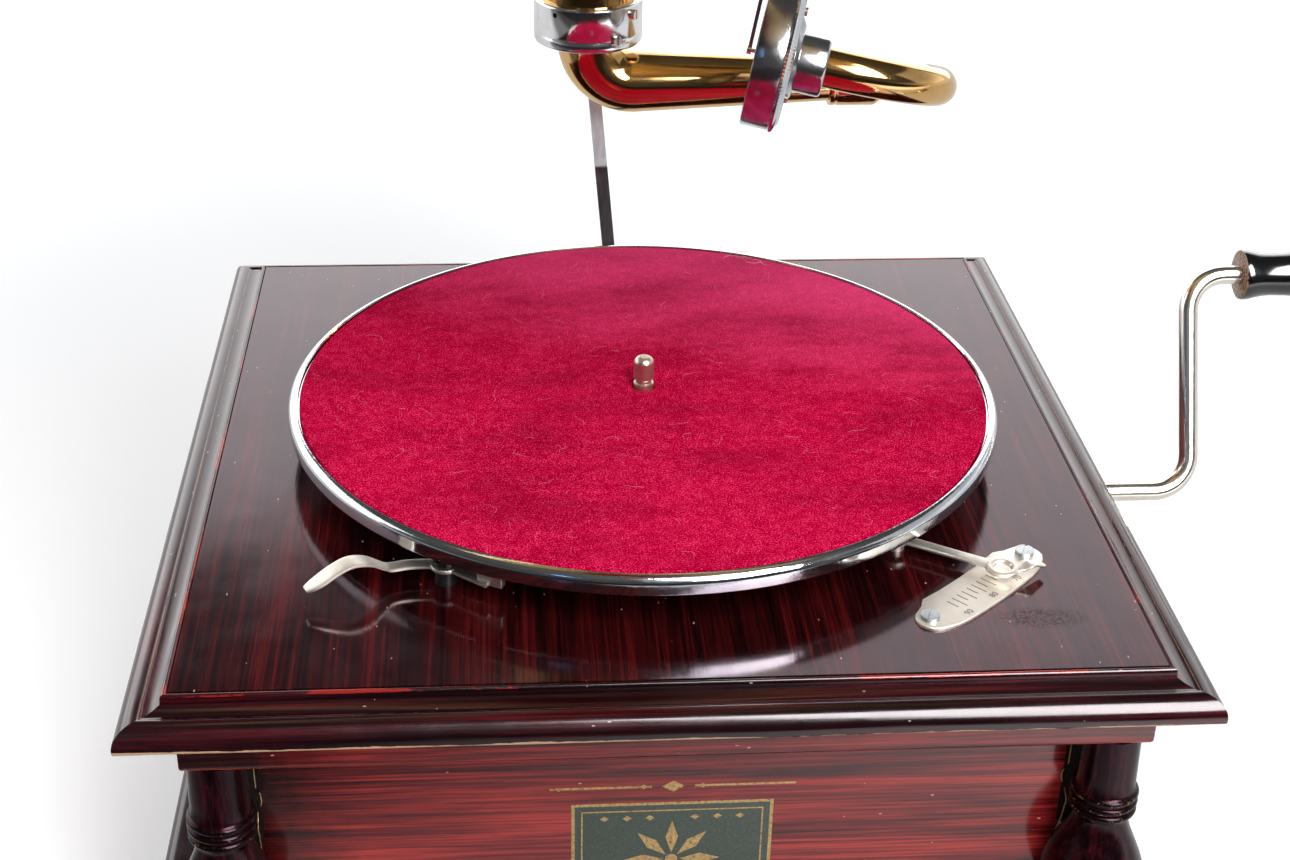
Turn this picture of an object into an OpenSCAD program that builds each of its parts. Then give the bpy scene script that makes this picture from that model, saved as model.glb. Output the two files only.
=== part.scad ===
// Horn gramophone: a square wooden case with a spring motor inside, a ten inch
// turntable, a swinging tonearm with a turn-over gooseneck, and a flared brass horn.
// Millimetres. The front faces -Y, the crank is on +X, and the origin is on the
// floor, straight below the spindle. Heights above the top board are added to case_h.

/* [Case] */
// Height from the floor to the face of the top board
case_h = 178; // [176:1:182]
// Half the width of the flat top board
board_half = 151; // [150:0.5:153]
// Thickness of the top board
board_t = 12; // [12:1:14]
// How far the top moulding stands out from the board
moulding_out = 15; // [13:0.5:17]
// Half the width of the frieze under the top
frieze_half = 150.5; // [150:0.5:151]
// Height of the frieze
frieze_h = 19; // [17:1:20]
// Half the width over the side panels
panel_half = 131; // [130:0.5:132]
// Thickness of the side panels
panel_t = 9; // [8:0.5:10]
// Half the width over the plinth at the floor
plinth_half = 180; // [178:1:184]
// Height of the plinth up to the ledge that carries the columns
plinth_h = 52; // [50:1:54]
// Distance of each column's axis from the middle of the case
column_at = 141; // [140:0.5:142]

/* [Turntable] */
// Outer radius of the turntable
platter_r = 127; // [126:0.5:128]
// Height of the felt's face above the top board
felt_top = 20; // [19:0.5:21]
// Radius of the felt
felt_r = 123; // [122:0.5:123.5]
// Radius of the spindle
spindle_r = 3.6; // [3.5:0.05:3.65]
// Height of the spindle's tip above the felt
spindle_up = 11.5; // [10:0.5:14]

/* [Tonearm] */
// Sideways place of the upright swivel axis
swivel_x = -13.75; // [-15:0.25:-12]
// Front to back place of the upright swivel axis
swivel_y = 150; // [149:0.5:152]
// Height of the arm's axis above the top board
arm_up = 82.5; // [81:0.5:84]
// Radius of the tube at the elbow
elbow_r = 12.6; // [12:0.1:13]
// Radius of the elbow's bend, on the tube's axis
elbow_bend = 18.5; // [18:0.5:20]
// Radius of the tube at its thin end
arm_end_r = 8.4; // [8:0.1:8.8]
// Place of the thin end of the tube
arm_end_x = 86; // [84:0.5:88]
// Wall of the brass tubes
tube_wall = 1.2; // [1:0.1:1.5]
// Radius of the gooseneck's tube
neck_r = 7.8; // [7.4:0.1:8]

/* [Soundbox] */
// Middle of the soundbox's face, with its height above the top board
box_face = [48.6, 100, 111.6];
// Turn of the soundbox's axis towards the front
box_turn = -11.5; // [-14:0.5:-9]
// Dip of the soundbox's axis towards its back
box_dip = 10; // [8:0.5:12]
// Radius of the soundbox
box_r = 28.3; // [27:0.1:29]
// Depth of the soundbox's drum
box_depth = 11.3; // [10.5:0.1:12]

/* [Horn] */
// Radius of the horn's mouth
mouth_r = 210; // [200:1:214]
// Number of petals round the horn
petals = 8; // [6:1:10]
// Radius of the horn's elbow inside the collar
horn_elbow_r = 19.6; // [19.4:0.1:19.7]
// Thickness of the horn's sheet
horn_wall = 1.2; // [1:0.1:1.6]
// Upward angle of the horn's mouth
mouth_up = 45; // [43:1:50]

/* [Crank] */
// Front to back place of the winding shaft
crank_y = 15; // [14:0.5:16]
// Depth of the winding shaft below the top board
crank_down = 38.4; // [38:0.1:40]
// Distance from the winding shaft to the grip
crank_throw = 83.7; // [80:0.1:96]
// Radius of the bent rod
crank_rod_r = 3.6; // [3.2:0.1:3.8]
// Place of the bent rod's upright
crank_arm_x = 215.3; // [212:0.1:218]
// Lean of the crank's arm towards the back, as it was left
crank_back = 26.2; // [0:0.1:45]
// Length of the grip
grip_length = 78; // [70:1:84]

/* [Motor] */
// Place of the spring barrel beside the spindle
barrel_at = [58, 15];
// Radius of the spring barrel
barrel_r = 34; // [33:0.5:35]
// Teeth of the barrel's great wheel
great_teeth = 80; // [80:2:82]
// Teeth of the intermediate wheel
middle_teeth = 60; // [60:2:62]
// Teeth of the pinions
pinion_teeth = 12; // [12:1:12]
// Teeth of the crown wheel on the winding arbor
crown_teeth = 36; // [36:1:36]
// Radius of the worm wheel on the spindle
worm_wheel_r = 16; // [15.5:0.1:16.2]

/* [Levers] */
// Pivot of the speed lever
speed_pivot = [79, -81];
// Middle of the speed lever's ring
speed_eye = [110.6, -100.5];
// Middle of the speed plate
speed_plate_mid = [101.6, -105.9];
// Direction of the speed plate's long side
speed_plate_turn = 42.9; // [40:0.1:45]
// Pivot of the brake lever
brake_pivot = [-70, -95];

/* [Hidden] */
$fn = 72;
fit = 0.04;
top = case_h;
board_under = top - board_t;
frieze_under = board_under - frieze_h;
moulding_half = board_half + moulding_out;
base_t = 12;
collar_r = 22;
collar_low = top + 101;
collar_h = 18;
collar_floor = 6;
arm_z = top + arm_up;
crank_z = top - crank_down;
grip_r = 9.7;
grip_start = crank_arm_x + 20.2;
spindle_tip = top + felt_top + spindle_up;
plate_t = 3;
motor_plate_z = board_under - plate_t;
lower_plate_z = 56;
great_z = 78;
barrel_z = 84;
barrel_h = 30;
crown_z = 124;
worm_z = 131;
worm_r = 4;
governor_y = -(worm_wheel_r + worm_r + 0.3);
governor_disc_r = 12.5;
regulator_pivot = [72, -46];
pillar_places = [[-22, -40], [94, -40], [94, 56], [-22, 56]];
plate_screws = [[-30, -20], [102, -10], [102, 40], [-30, 36]];
post_places = [-12, 63];
great_pitch = great_teeth / 2;
middle_pitch = middle_teeth / 2;
pinion_pitch = pinion_teeth / 2;
crown_pitch = crown_teeth / 2;

// The intermediate arbor stands where both its meshes have their centre distances
barrel_gap = norm(barrel_at);
middle_gap = middle_pitch + pinion_pitch;
great_gap = great_pitch + pinion_pitch;
barrel_way = atan2(barrel_at[1], barrel_at[0]);
middle_way = barrel_way
    + acos((barrel_gap ^ 2 + middle_gap ^ 2 - great_gap ^ 2) / (2 * barrel_gap * middle_gap));
middle_at = middle_gap * [cos(middle_way), sin(middle_way)];
great_way = atan2(middle_at[1] - barrel_at[1], middle_at[0] - barrel_at[0]);

wood = [0.24, 0.05, 0.05];
dark_wood = [0.16, 0.04, 0.04];
plain_wood = [0.62, 0.46, 0.30];
brass = [0.80, 0.60, 0.28];
chrome = [0.82, 0.84, 0.86];
nickel = [0.76, 0.74, 0.68];
steel = [0.55, 0.56, 0.58];
iron = [0.25, 0.26, 0.27];

function arc(x, y, r, from, to, steps) =
    [for (i = [0:steps]) let (a = from + (to - from) * i / steps) [x + r * cos(a), y + r * sin(a)]];
function bezier(p, t) = (1 - t) ^ 3 * p[0] + 3 * (1 - t) ^ 2 * t * p[1]
    + 3 * (1 - t) * t ^ 2 * p[2] + t ^ 3 * p[3];
function bezier_way(p, t) = let (d = (1 - t) ^ 2 * (p[1] - p[0]) + 2 * (1 - t) * t * (p[2] - p[1])
    + t ^ 2 * (p[3] - p[2])) d / norm(d);

// Plain ring standing on the floor of its own frame
module ring(outer, inner, height) {
    difference() {
        cylinder(r = outer, h = height);
        translate([0, 0, -1]) cylinder(r = inner, h = height + 2);
    }
}

// Shaft or disc along +X
module along_x(r, length) {
    rotate([0, 90, 0]) cylinder(r = r, h = length);
}

// Four mitred lengths round a square; the profile's x is the way out from the square
module mitred_frame(half, profile) {
    reach = half + 60;
    for (turn = [0:90:270])
        rotate(turn) intersection() {
            translate([-reach, half, 0]) rotate([90, 0, 90])
                linear_extrude(2 * reach) polygon(profile);
            translate([0, 0, -1]) linear_extrude(case_h + 2)
                polygon([[0, 0], [reach, reach], [-reach, reach]]);
        }
}

// Slot-headed screw whose head sits on z = 0 and whose shank goes down
module screw(head_r, head_h, shank_r, shank) {
    difference() {
        union() {
            cylinder(r = head_r, h = head_h);
            translate([0, 0, -shank]) cylinder(r = shank_r, h = shank + 0.1);
        }
        translate([-head_r, -0.4, head_h - 0.7]) cube([2 * head_r, 0.8, 1]);
    }
}

// Spur wheel of module 1 with one tooth at the given angle
module spur_wheel(teeth, height, turn) {
    step = 360 / teeth;
    root = teeth / 2 - 0.95;
    tip = teeth / 2 + 0.6;
    linear_extrude(height) polygon([for (i = [0:teeth - 1]) let (a = turn + i * step)
        each [root * [cos(a - 0.26 * step), sin(a - 0.26 * step)],
            tip * [cos(a - 0.12 * step), sin(a - 0.12 * step)],
            tip * [cos(a + 0.12 * step), sin(a + 0.12 * step)],
            root * [cos(a + 0.26 * step), sin(a + 0.26 * step)]]]);
}

module base_board() {
    color(plain_wood) translate([-panel_half, -panel_half, 0])
        cube([2 * panel_half, 2 * panel_half, base_t]);
}

// The plinth's ledge carries the columns; below it a cove, a bead and a wide nose
module plinth_moulding() {
    ledge = 157 - panel_half;
    wide = plinth_half - panel_half;
    color(wood) mitred_frame(panel_half, concat(
        [[0, 0], [wide - 1.5, 0], [wide, 1.5], [wide, 27]],
        arc(wide - 5, 27, 5, 0, 90, 6),
        [[ledge + 11, 32], [ledge + 11, 35]],
        arc(ledge + 11, 45, 10, 270, 180, 6),
        [[ledge + 1, 46], [ledge + 1, 47]],
        arc(ledge - 2.5, 49.5, 2.5, -60, 90, 6),
        [[0, plinth_h]]));
}

module side_panel(from, size) {
    color(wood) translate([from[0], from[1], base_t]) cube([size[0], size[1], board_under - base_t]);
}

module front_panel() {
    side_panel([-panel_half, -panel_half], [2 * panel_half, panel_t]);
}

module back_panel() {
    difference() {
        side_panel([-panel_half, panel_half - panel_t], [2 * panel_half, panel_t]);
        for (place = bracket_screw_places())
            translate([place[0], panel_half + 1, place[1]]) rotate([90, 0, 0]) cylinder(r = 1.6, h = 20);
    }
}

module left_panel() {
    side_panel([-panel_half, panel_t - panel_half], [panel_t, 2 * (panel_half - panel_t)]);
}

module right_panel() {
    difference() {
        side_panel([panel_half - panel_t, panel_t - panel_half], [panel_t, 2 * (panel_half - panel_t)]);
        translate([panel_half - panel_t - 1, crank_y, crank_z]) along_x(6.5, panel_t + 2);
    }
}

// Turned corner column: neck, three rings, a long bulb and a ringed foot
module column(side_x, side_y) {
    foot = plinth_h;
    head = frieze_under;
    rings = top - 61;
    color(dark_wood) difference() {
        translate([side_x * column_at, side_y * column_at, 0]) rotate_extrude() polygon(concat(
            [[0, foot], [13.5, foot]],
            arc(12, foot + 1.7, 1.7, -60, 90, 3),
            [[10.5, foot + 4]],
            arc(10.2, foot + 6, 1.6, -80, 80, 3),
            [[8, foot + 9], [8.4, foot + 13], [10.5, foot + 18], [13.6, foot + 24],
                [15.9, foot + 30], [16.6, foot + 36], [16, foot + 41], [14.4, foot + 46],
                [12.3, foot + 51], [10, foot + 56], [8.6, foot + 60], [8.2, rings - 1.6]],
            arc(9.4, rings, 1.5, -80, 80, 4),
            arc(9.6, rings + 3.2, 1.5, -80, 80, 4),
            arc(9.4, rings + 6.4, 1.5, -80, 80, 4),
            [[9.4, rings + 8.2], [9.2, rings + 14], [8.6, head], [0, head]]));
        translate([side_x > 0 ? -200 : -panel_half, side_y > 0 ? -200 : -panel_half, 0])
            cube([200 + panel_half, 200 + panel_half, case_h]);
    }
}

module column_front_left() {
    column(-1, -1);
}

module column_front_right() {
    column(1, -1);
}

module column_back_left() {
    column(-1, 1);
}

module column_back_right() {
    column(1, 1);
}

module frieze_frame() {
    depth = frieze_half - panel_half;
    color(wood) difference() {
        mitred_frame(panel_half, concat([[0, frieze_under], [depth - 2.5, frieze_under]],
            arc(depth - 2.5, frieze_under + 2.5, 2.5, -90, 0, 4),
            [[depth, board_under], [0, board_under]]));
        translate([panel_half - 1, crank_y, crank_z]) along_x(6.5, 30);
    }
}

speed_plate_hole = 26.5;

module at_speed_plate() {
    translate([speed_plate_mid[0], speed_plate_mid[1], top]) rotate(speed_plate_turn) children();
}

module top_board() {
    color(wood) difference() {
        translate([-board_half, -board_half, board_under])
            cube([2 * board_half, 2 * board_half, board_t]);
        translate([0, 0, board_under - 1]) cylinder(r = 10.5, h = board_t + 2);
        translate([speed_pivot[0], speed_pivot[1], board_under - 1]) cylinder(r = 3.05, h = board_t + 2);
        translate([brake_pivot[0], brake_pivot[1], top - 8.2]) cylinder(r = 2.03, h = 10);
        at_speed_plate() for (side = [-1, 1])
            translate([side * speed_plate_hole, 0, -8.2]) cylinder(r = 1.55, h = 10);
        for (place = plate_screws)
            translate([place[0], place[1], board_under - 1]) cylinder(r = 1.6, h = 9);
    }
}

// Bead step, shallow cove and a rounded nose round the top board
module top_moulding() {
    out = moulding_out;
    color(wood) mitred_frame(board_half, concat(
        [[0, board_under], [out - 0.8, board_under], [out, board_under + 0.8]],
        arc(out - 6, top - 8.5, 6, 0, 88, 8),
        arc(7.6, top + 3.4, 6.6, -72, -140, 5),
        [[2.2, top - 1.4], [1.8, top - 0.3], [1.2, top], [0, top]]));
}

function bracket_screw_places() = [for (x = [-15, 15], z = [74, 112]) [x, z]];

// A flat foot on the back panel carries an upright web that leans with the arm's swivel
module back_bracket() {
    web = 4.2;
    foot_t = 3;
    collar_mid = collar_low + collar_h / 2;
    lean_from = 143;
    lean = atan(-swivel_x / (collar_mid - lean_from));
    color(steel) difference() {
        union() {
            translate([-24, panel_half, 62]) cube([48, foot_t, 62]);
            translate([0, 0, lean_from]) rotate([0, -lean, 0]) translate([-web / 2, 0, -lean_from])
                rotate([90, 0, 90]) linear_extrude(web) polygon([[panel_half + 1, 70],
                    [panel_half + 1, 118], [168, 136], [171, 150], [171, top + 34],
                    [170, top + 38], [171, top + 41], [swivel_y + 16, collar_mid - 6],
                    [swivel_y + 16, collar_mid + 7], [swivel_y + 30, collar_mid + 6],
                    [184, top + 40], [183, 140], [170, 112]]);
        }
        translate([swivel_x, swivel_y, collar_low - 3]) cylinder(r = collar_r, h = collar_h + 6);
        for (place = bracket_screw_places())
            translate([place[0], panel_half + foot_t + 1, place[1]]) rotate([90, 0, 0])
                cylinder(r = 2.1, h = foot_t + 2);
    }
}

// Four screws hold the foot and two clamp the collar on the horn's elbow
module bracket_screws() {
    color(nickel) {
        for (place = bracket_screw_places())
            translate([place[0], panel_half + 3, place[1]]) rotate([-90, 0, 0]) screw(4, 2, 1.55, 14);
        for (way = [-38, -62])
            translate([swivel_x, swivel_y, collar_low + (way == -38 ? 14 : 5.2)]) rotate([0, 90, way])
                translate([0, 0, collar_r]) screw(2, 1.6, 1.2, 1.8);
    }
}

module collar() {
    color(chrome) translate([swivel_x, swivel_y, 0]) difference() {
        rotate_extrude($fn = 96) polygon(concat(
            [[elbow_r + fit, collar_low], [collar_r - 1.5, collar_low]],
            arc(collar_r - 1.5, collar_low + 1.5, 1.5, -90, 0, 4),
            arc(collar_r - 1.2, collar_low + collar_h - 1.2, 1.2, 0, 90, 4),
            [[horn_elbow_r + fit, collar_low + collar_h],
                [horn_elbow_r + fit, collar_low + collar_floor],
                [elbow_r + fit, collar_low + collar_floor]]));
        for (way = [-38, -62])
            translate([0, 0, collar_low + (way == -38 ? 14 : 5.2)]) rotate([0, 90, way])
                translate([0, 0, collar_r - 2.2]) cylinder(r = 1.25, h = 4);
    }
}

module speed_plate() {
    color(nickel) at_speed_plate() difference() {
        linear_extrude(1) polygon([[-32, -3], [-29, -7], [-24, -7.5], [-18, -10], [18, -10],
            [24, -7.5], [29, -7], [32, -3], [32, 3], [29, 6], [24, 6.5], [18, 9], [-18, 9],
            [-24, 6.5], [-29, 6], [-32, 3]]);
        for (side = [-1, 1])
            translate([side * speed_plate_hole, 0, -1]) cylinder(r = 1.55, h = 3);
        for (mark = [-15:5:15])
            translate([mark - 0.35, -3, 0.7]) cube([0.7, 8, 1]);
    }
}

module speed_plate_screws() {
    color(nickel) at_speed_plate() for (side = [-1, 1])
        translate([side * speed_plate_hole, 0, 1]) rotate(25) screw(3.1, 1.4, 1.5, 9);
}

module crank_bush() {
    color(nickel) difference() {
        translate([0, crank_y, crank_z]) union() {
            translate([panel_half - panel_t - 3, 0, 0]) along_x(6.4, panel_t + 24);
            translate([panel_half - panel_t - 3, 0, 0]) along_x(11, 3);
        }
        translate([0, crank_y, crank_z]) along_x(4 + fit, 200);
    }
}

module plate_outline(x0, x1, y0, y1, corner) {
    translate([x0 + corner, y0]) square([x1 - x0 - 2 * corner, y1 - y0]);
    translate([x0, y0 + corner]) square([x1 - x0, y1 - y0 - 2 * corner]);
    for (x = [x0 + corner, x1 - corner], y = [y0 + corner, y1 - corner])
        translate([x, y]) circle(r = corner);
}

module motor_plate() {
    color(iron) difference() {
        union() {
            translate([0, 0, motor_plate_z]) linear_extrude(plate_t)
                plate_outline(-38, 110, -56, 66, 8);
            translate([0, 0, motor_plate_z - 9]) cylinder(r = 8, h = 9.5);
            translate([barrel_at[0], barrel_at[1], motor_plate_z - 4]) cylinder(r = 9, h = 4.5);
        }
        translate([0, 0, motor_plate_z - 10]) cylinder(r = spindle_r + fit, h = 20);
        translate([barrel_at[0], barrel_at[1], motor_plate_z - 5]) cylinder(r = 5 + fit, h = 7);
        translate([middle_at[0], middle_at[1], motor_plate_z - 1]) cylinder(r = 3 + fit, h = 3);
        translate([regulator_pivot[0], regulator_pivot[1], motor_plate_z - 1]) cylinder(r = 2 + fit, h = 3);
        translate([pawl_at[0], pawl_at[1], motor_plate_z - 1]) cylinder(r = 1.95 + fit, h = 3);
        for (place = pillar_places)
            translate([place[0], place[1], motor_plate_z - 1]) cylinder(r = 2.5, h = 5);
        for (place = plate_screws)
            translate([place[0], place[1], motor_plate_z - 1]) cylinder(r = 1.7, h = 5);
    }
}

module motor_screws() {
    color(nickel) for (place = plate_screws)
        translate([place[0], place[1], motor_plate_z]) rotate([180, 0, 0]) screw(3.5, 1.8, 1.55, 10);
}

module motor_pillars() {
    color(steel) for (place = pillar_places)
        translate([place[0], place[1], 0]) {
            translate([0, 0, lower_plate_z + plate_t])
                cylinder(r = 4.5, h = motor_plate_z - lower_plate_z - plate_t);
            translate([0, 0, lower_plate_z - 6]) cylinder(r = 2.45, h = 6.1);
            translate([0, 0, lower_plate_z - 4]) cylinder(r = 4.6, h = 4, $fn = 6);
            translate([0, 0, lower_plate_z]) cylinder(r = 2.45, h = plate_t);
            translate([0, 0, motor_plate_z]) cylinder(r = 2.45, h = plate_t - 0.1);
        }
}

module lower_plate() {
    color(iron) difference() {
        translate([0, 0, lower_plate_z]) linear_extrude(plate_t) plate_outline(-32, 104, -50, 66, 8);
        for (place = pillar_places)
            translate([place[0], place[1], lower_plate_z - 1]) cylinder(r = 2.5, h = 5);
        translate([0, 0, lower_plate_z - 1]) cylinder(r = 2.5 + fit, h = 5);
        translate([middle_at[0], middle_at[1], lower_plate_z - 1]) cylinder(r = 2.5 + fit, h = 5);
        translate([barrel_at[0], barrel_at[1], lower_plate_z - 1]) cylinder(r = 4 + fit, h = 5);
    }
}

module winding_bracket() {
    color(iron) difference() {
        union() {
            translate([84, crank_y - 8, crank_z - 9]) cube([6, 16, motor_plate_z - crank_z + 9]);
            translate([84, crank_y - 14, motor_plate_z - 3]) cube([12, 28, 3]);
        }
        translate([83, crank_y, crank_z]) along_x(4 + fit, 8);
    }
}

module governor_bearings() {
    color(iron) for (x = post_places)
        difference() {
            translate([x - 2.5, governor_y - 5, worm_z - 6]) cube([5, 10, motor_plate_z - worm_z + 6]);
            translate([x - 3, governor_y, worm_z]) along_x(1.5 + fit, 6);
        }
}

module brake_screw() {
    color(nickel) translate([brake_pivot[0], brake_pivot[1], top]) union() {
        translate([0, 0, 6.9]) screw(4, 1.8, 2, 14.9);
        cylinder(r = 3.6, h = 5.3);
    }
}

horn_rise = 15;
horn_bend = 66;
horn_lean = 30;
horn_sleeve = 14;

// Sheet between two sets of rings of n points each, closed at both ends
module sheet_of_rings(outside, inside, n) {
    base = len(outside);
    m = base / n - 1;
    skin = [for (i = [0:m - 1], k = [0:n - 1]) let (j = (k + 1) % n, a = i * n, b = a + n)
        each [[a + k, b + j, a + j], [a + k, b + k, b + j]]];
    lining = [for (f = skin) [base + f[0], base + f[2], base + f[1]]];
    ends = [for (k = [0:n - 1]) let (j = (k + 1) % n, b = m * n)
        each [[k, j, base + j], [k, base + j, base + k],
            [b + k, base + b + j, b + j], [b + k, base + b + k, base + b + j]]];
    polyhedron(concat(outside, inside), concat(skin, lining, ends), convexity = 6);
}

// Ring of n points round the horn's elbow at the angle of lean a, carried on by a straight length
function elbow_ring(r, a, on, n) = [for (k = [0:n - 1]) let (side = r * sin(k * 360 / n))
    [r * cos(k * 360 / n), horn_bend * (1 - cos(a)) + on * sin(a) + side * cos(a),
        horn_bend * sin(a) + on * cos(a) - side * sin(a)]];

// Bent pipe that turns in the collar; its upper end is a spigot for the horn's neck
module horn_elbow() {
    n = 64;
    steps = 6;
    inner_r = horn_elbow_r - 1.6;
    bead_r = horn_elbow_r + 1.6;
    start = collar_low + collar_floor + 2.6;
    straight = collar_low + collar_h + horn_rise - start;
    stops = [[0, -0.5], for (i = [0:steps]) [horn_lean * i / steps, 0], [horn_lean, horn_sleeve]];
    color(brass) translate([swivel_x, swivel_y, start]) {
        rotate_extrude() polygon([[inner_r, 0], [horn_elbow_r, 0], [horn_elbow_r, straight - 4],
            [bead_r, straight - 4], [bead_r, straight], [inner_r, straight]]);
        translate([0, 0, straight]) sheet_of_rings(
            [for (s = stops) each elbow_ring(horn_elbow_r - 0.1, s[0], s[1], n)],
            [for (s = stops) each elbow_ring(inner_r + 0.1, s[0], s[1], n)], n);
    }
}

// The horn's axis lies in the plane of the swivel: it leans back, then sweeps forward
horn_base = collar_low + collar_h + horn_rise;
horn_up = [sin(horn_lean), cos(horn_lean)];
horn_neck = [swivel_y + horn_bend * (1 - cos(horn_lean)), horn_base + horn_bend * sin(horn_lean)]
    + horn_sleeve * horn_up;
horn_mouth = [0, 560];
horn_axis = [horn_neck, horn_neck + 100 * horn_up,
    horn_mouth + 150 * [cos(mouth_up), -sin(mouth_up)], horn_mouth];
horn_sides = petals * 8;
horn_join = 0.5;
horn_wire = 2.4;
horn_neck_r = horn_elbow_r + fit + horn_wall;

function flare(t) = horn_neck_r * (mouth_r / horn_neck_r) ^ (max(t, 0) ^ 1.35);
// Petals fade in along the horn; each is fullest midway between two seams
function petal(a) = abs(sin(a * petals / 2));
function petal_depth(t) = t < 0.25 ? 0 : ((t - 0.25) / 0.75) ^ 2;
function horn_radius(a, t) = flare(t) * (1 - 0.075 * petal_depth(t) * (1 - petal(a)));
function horn_shift(a, t) = -16 * petal_depth(t) ^ 2 * (1 - petal(a));
// Below t = 0 the neck runs straight down over the elbow's spigot
function horn_mid(t) = t < 0 ? horn_neck + t * horn_sleeve * horn_up : bezier(horn_axis, t);

// A point of the horn's outside, or of its inside when the wall is taken off
function horn_point(a, t, wall) =
    let (mid = horn_mid(t), way = bezier_way(horn_axis, max(t, 0)),
        span = norm(horn_mid(t + 0.01) - horn_mid(t - 0.01)),
        slope = atan2(horn_radius(a, t + 0.01) - horn_radius(a, t - 0.01), span),
        r = horn_radius(a, t) - wall * cos(slope),
        shift = horn_shift(a, t) + wall * sin(slope),
        across = [way[1], -way[0]])
    [swivel_x + r * cos(a),
        mid[0] + r * sin(a) * across[0] + shift * way[0],
        mid[1] + r * sin(a) * across[1] + shift * way[1]];

function horn_ring(t, wall) = [for (k = [0:horn_sides - 1]) horn_point(k * 360 / horn_sides, t, wall)];

// The neck ends in a raised band, where the bell is soldered on
module horn_neck() {
    steps = 12;
    band = 1.2;
    along = [-1, for (i = [0:steps - 1]) horn_join * i / steps, horn_join - 0.012];
    color(brass) sheet_of_rings(concat([for (t = along) each horn_ring(t, 0)],
        horn_ring(horn_join - 0.011, -band), horn_ring(horn_join, -band)),
        concat([for (t = along) each horn_ring(t, horn_wall)],
            horn_ring(horn_join - 0.011, horn_wall), horn_ring(horn_join, horn_wall)), horn_sides);
}

// Ring round one side of the wire that the bell's edge is rolled over
function wired_ring(side, a) = [for (k = [0:horn_sides - 1]) let (way = k * 360 / horn_sides,
    edge = horn_point(way, 1, horn_wall / 2), out = horn_point(way, 1, 0) - horn_point(way, 1, horn_wall),
    on = edge - horn_point(way, 0.97, horn_wall / 2), ahead = on / norm(on))
    edge + horn_wire * ((1 + sin(a)) * ahead + side * cos(a) * out / norm(out))];

module horn_bell() {
    steps = 14;
    round_wire = [-60, -15, 30, 75];
    along = [for (i = [0:steps]) horn_join + (1 - horn_join) * i / steps];
    color(brass) sheet_of_rings(
        concat([for (t = along) each horn_ring(t, 0)], [for (a = round_wire) each wired_ring(1, a)]),
        concat([for (t = along) each horn_ring(t, horn_wall)],
            [for (a = round_wire) each wired_ring(-1, a)]), horn_sides);
}

// Swept elbow and tapered tube, with the swivel's spigot above and a spigot at the end
module tonearm_tube() {
    start_x = swivel_x + elbow_bend;
    taper = arm_end_x - start_x;
    spigot = 18;
    color(brass) difference() {
        union() {
            translate([swivel_x, swivel_y, arm_z + elbow_bend])
                cylinder(r = elbow_r, h = collar_low + collar_floor + 0.1 - arm_z - elbow_bend);
            translate([swivel_x, swivel_y, collar_low + collar_floor + 0.1]) cylinder(r = 15, h = 2);
            translate([swivel_x + elbow_bend, swivel_y, arm_z + elbow_bend]) rotate([90, 0, 0])
                rotate([0, 0, 180]) rotate_extrude(angle = 90) translate([elbow_bend, 0])
                    circle(r = elbow_r);
            translate([start_x, swivel_y, arm_z]) rotate([0, 90, 0])
                cylinder(r1 = elbow_r, r2 = arm_end_r, h = taper);
            translate([arm_end_x - 0.1, swivel_y, arm_z]) along_x(7, spigot + 0.1);
        }
        translate([swivel_x, swivel_y, arm_z + elbow_bend]) cylinder(r = elbow_r - tube_wall, h = 60);
        translate([swivel_x + elbow_bend, swivel_y, arm_z + elbow_bend]) rotate([90, 0, 0])
            rotate([0, 0, 180]) rotate_extrude(angle = 90) translate([elbow_bend, 0])
                circle(r = elbow_r - tube_wall);
        translate([start_x - 0.01, swivel_y, arm_z]) rotate([0, 90, 0])
            cylinder(r1 = elbow_r - tube_wall, r2 = 5.8, h = taper);
        translate([arm_end_x - 1, swivel_y, arm_z]) along_x(5.8, spigot + 3);
    }
}

// The soundbox's own frame: its face is at z = 0 and its back points along +z
module at_soundbox() {
    translate(box_face + [0, 0, top]) rotate([0, 90 + box_dip, box_turn]) children();
}

box_way = [cos(box_dip) * cos(box_turn), cos(box_dip) * sin(box_turn), -sin(box_dip)];
boss_end = 27.7;
neck_start = [arm_end_x + 12, swivel_y, arm_z];
neck_in = 8;
neck_end = box_face + [0, 0, top] + boss_end * box_way;
neck_path = [neck_start, neck_start + [46, 0, 0], neck_end + 58 * box_way, neck_end];

// Tube swept along a curve up to the given share of it, as one closed solid
module swept_tube(path, r, share) {
    sides = 24;
    rings = 28;
    points = [for (i = [0:rings]) let (t = share * i / rings, mid = bezier(path, t), way = bezier_way(path, t),
            u0 = cross(way, [0, 0.45, 0.9]), u = u0 / norm(u0), v = cross(way, u))
        for (k = [0:sides - 1]) mid + r * (cos(k * 360 / sides) * u + sin(k * 360 / sides) * v)];
    last = rings * sides;
    polyhedron(points, concat(
        [for (i = [0:rings - 1], k = [0:sides - 1]) let (j = (k + 1) % sides, a = i * sides, b = a + sides)
            each [[a + k, b + j, a + j], [a + k, b + k, b + j]]],
        [[for (k = [0:sides - 1]) k], [for (k = [0:sides - 1]) last + sides - 1 - k]]), convexity = 6);
}

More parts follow.
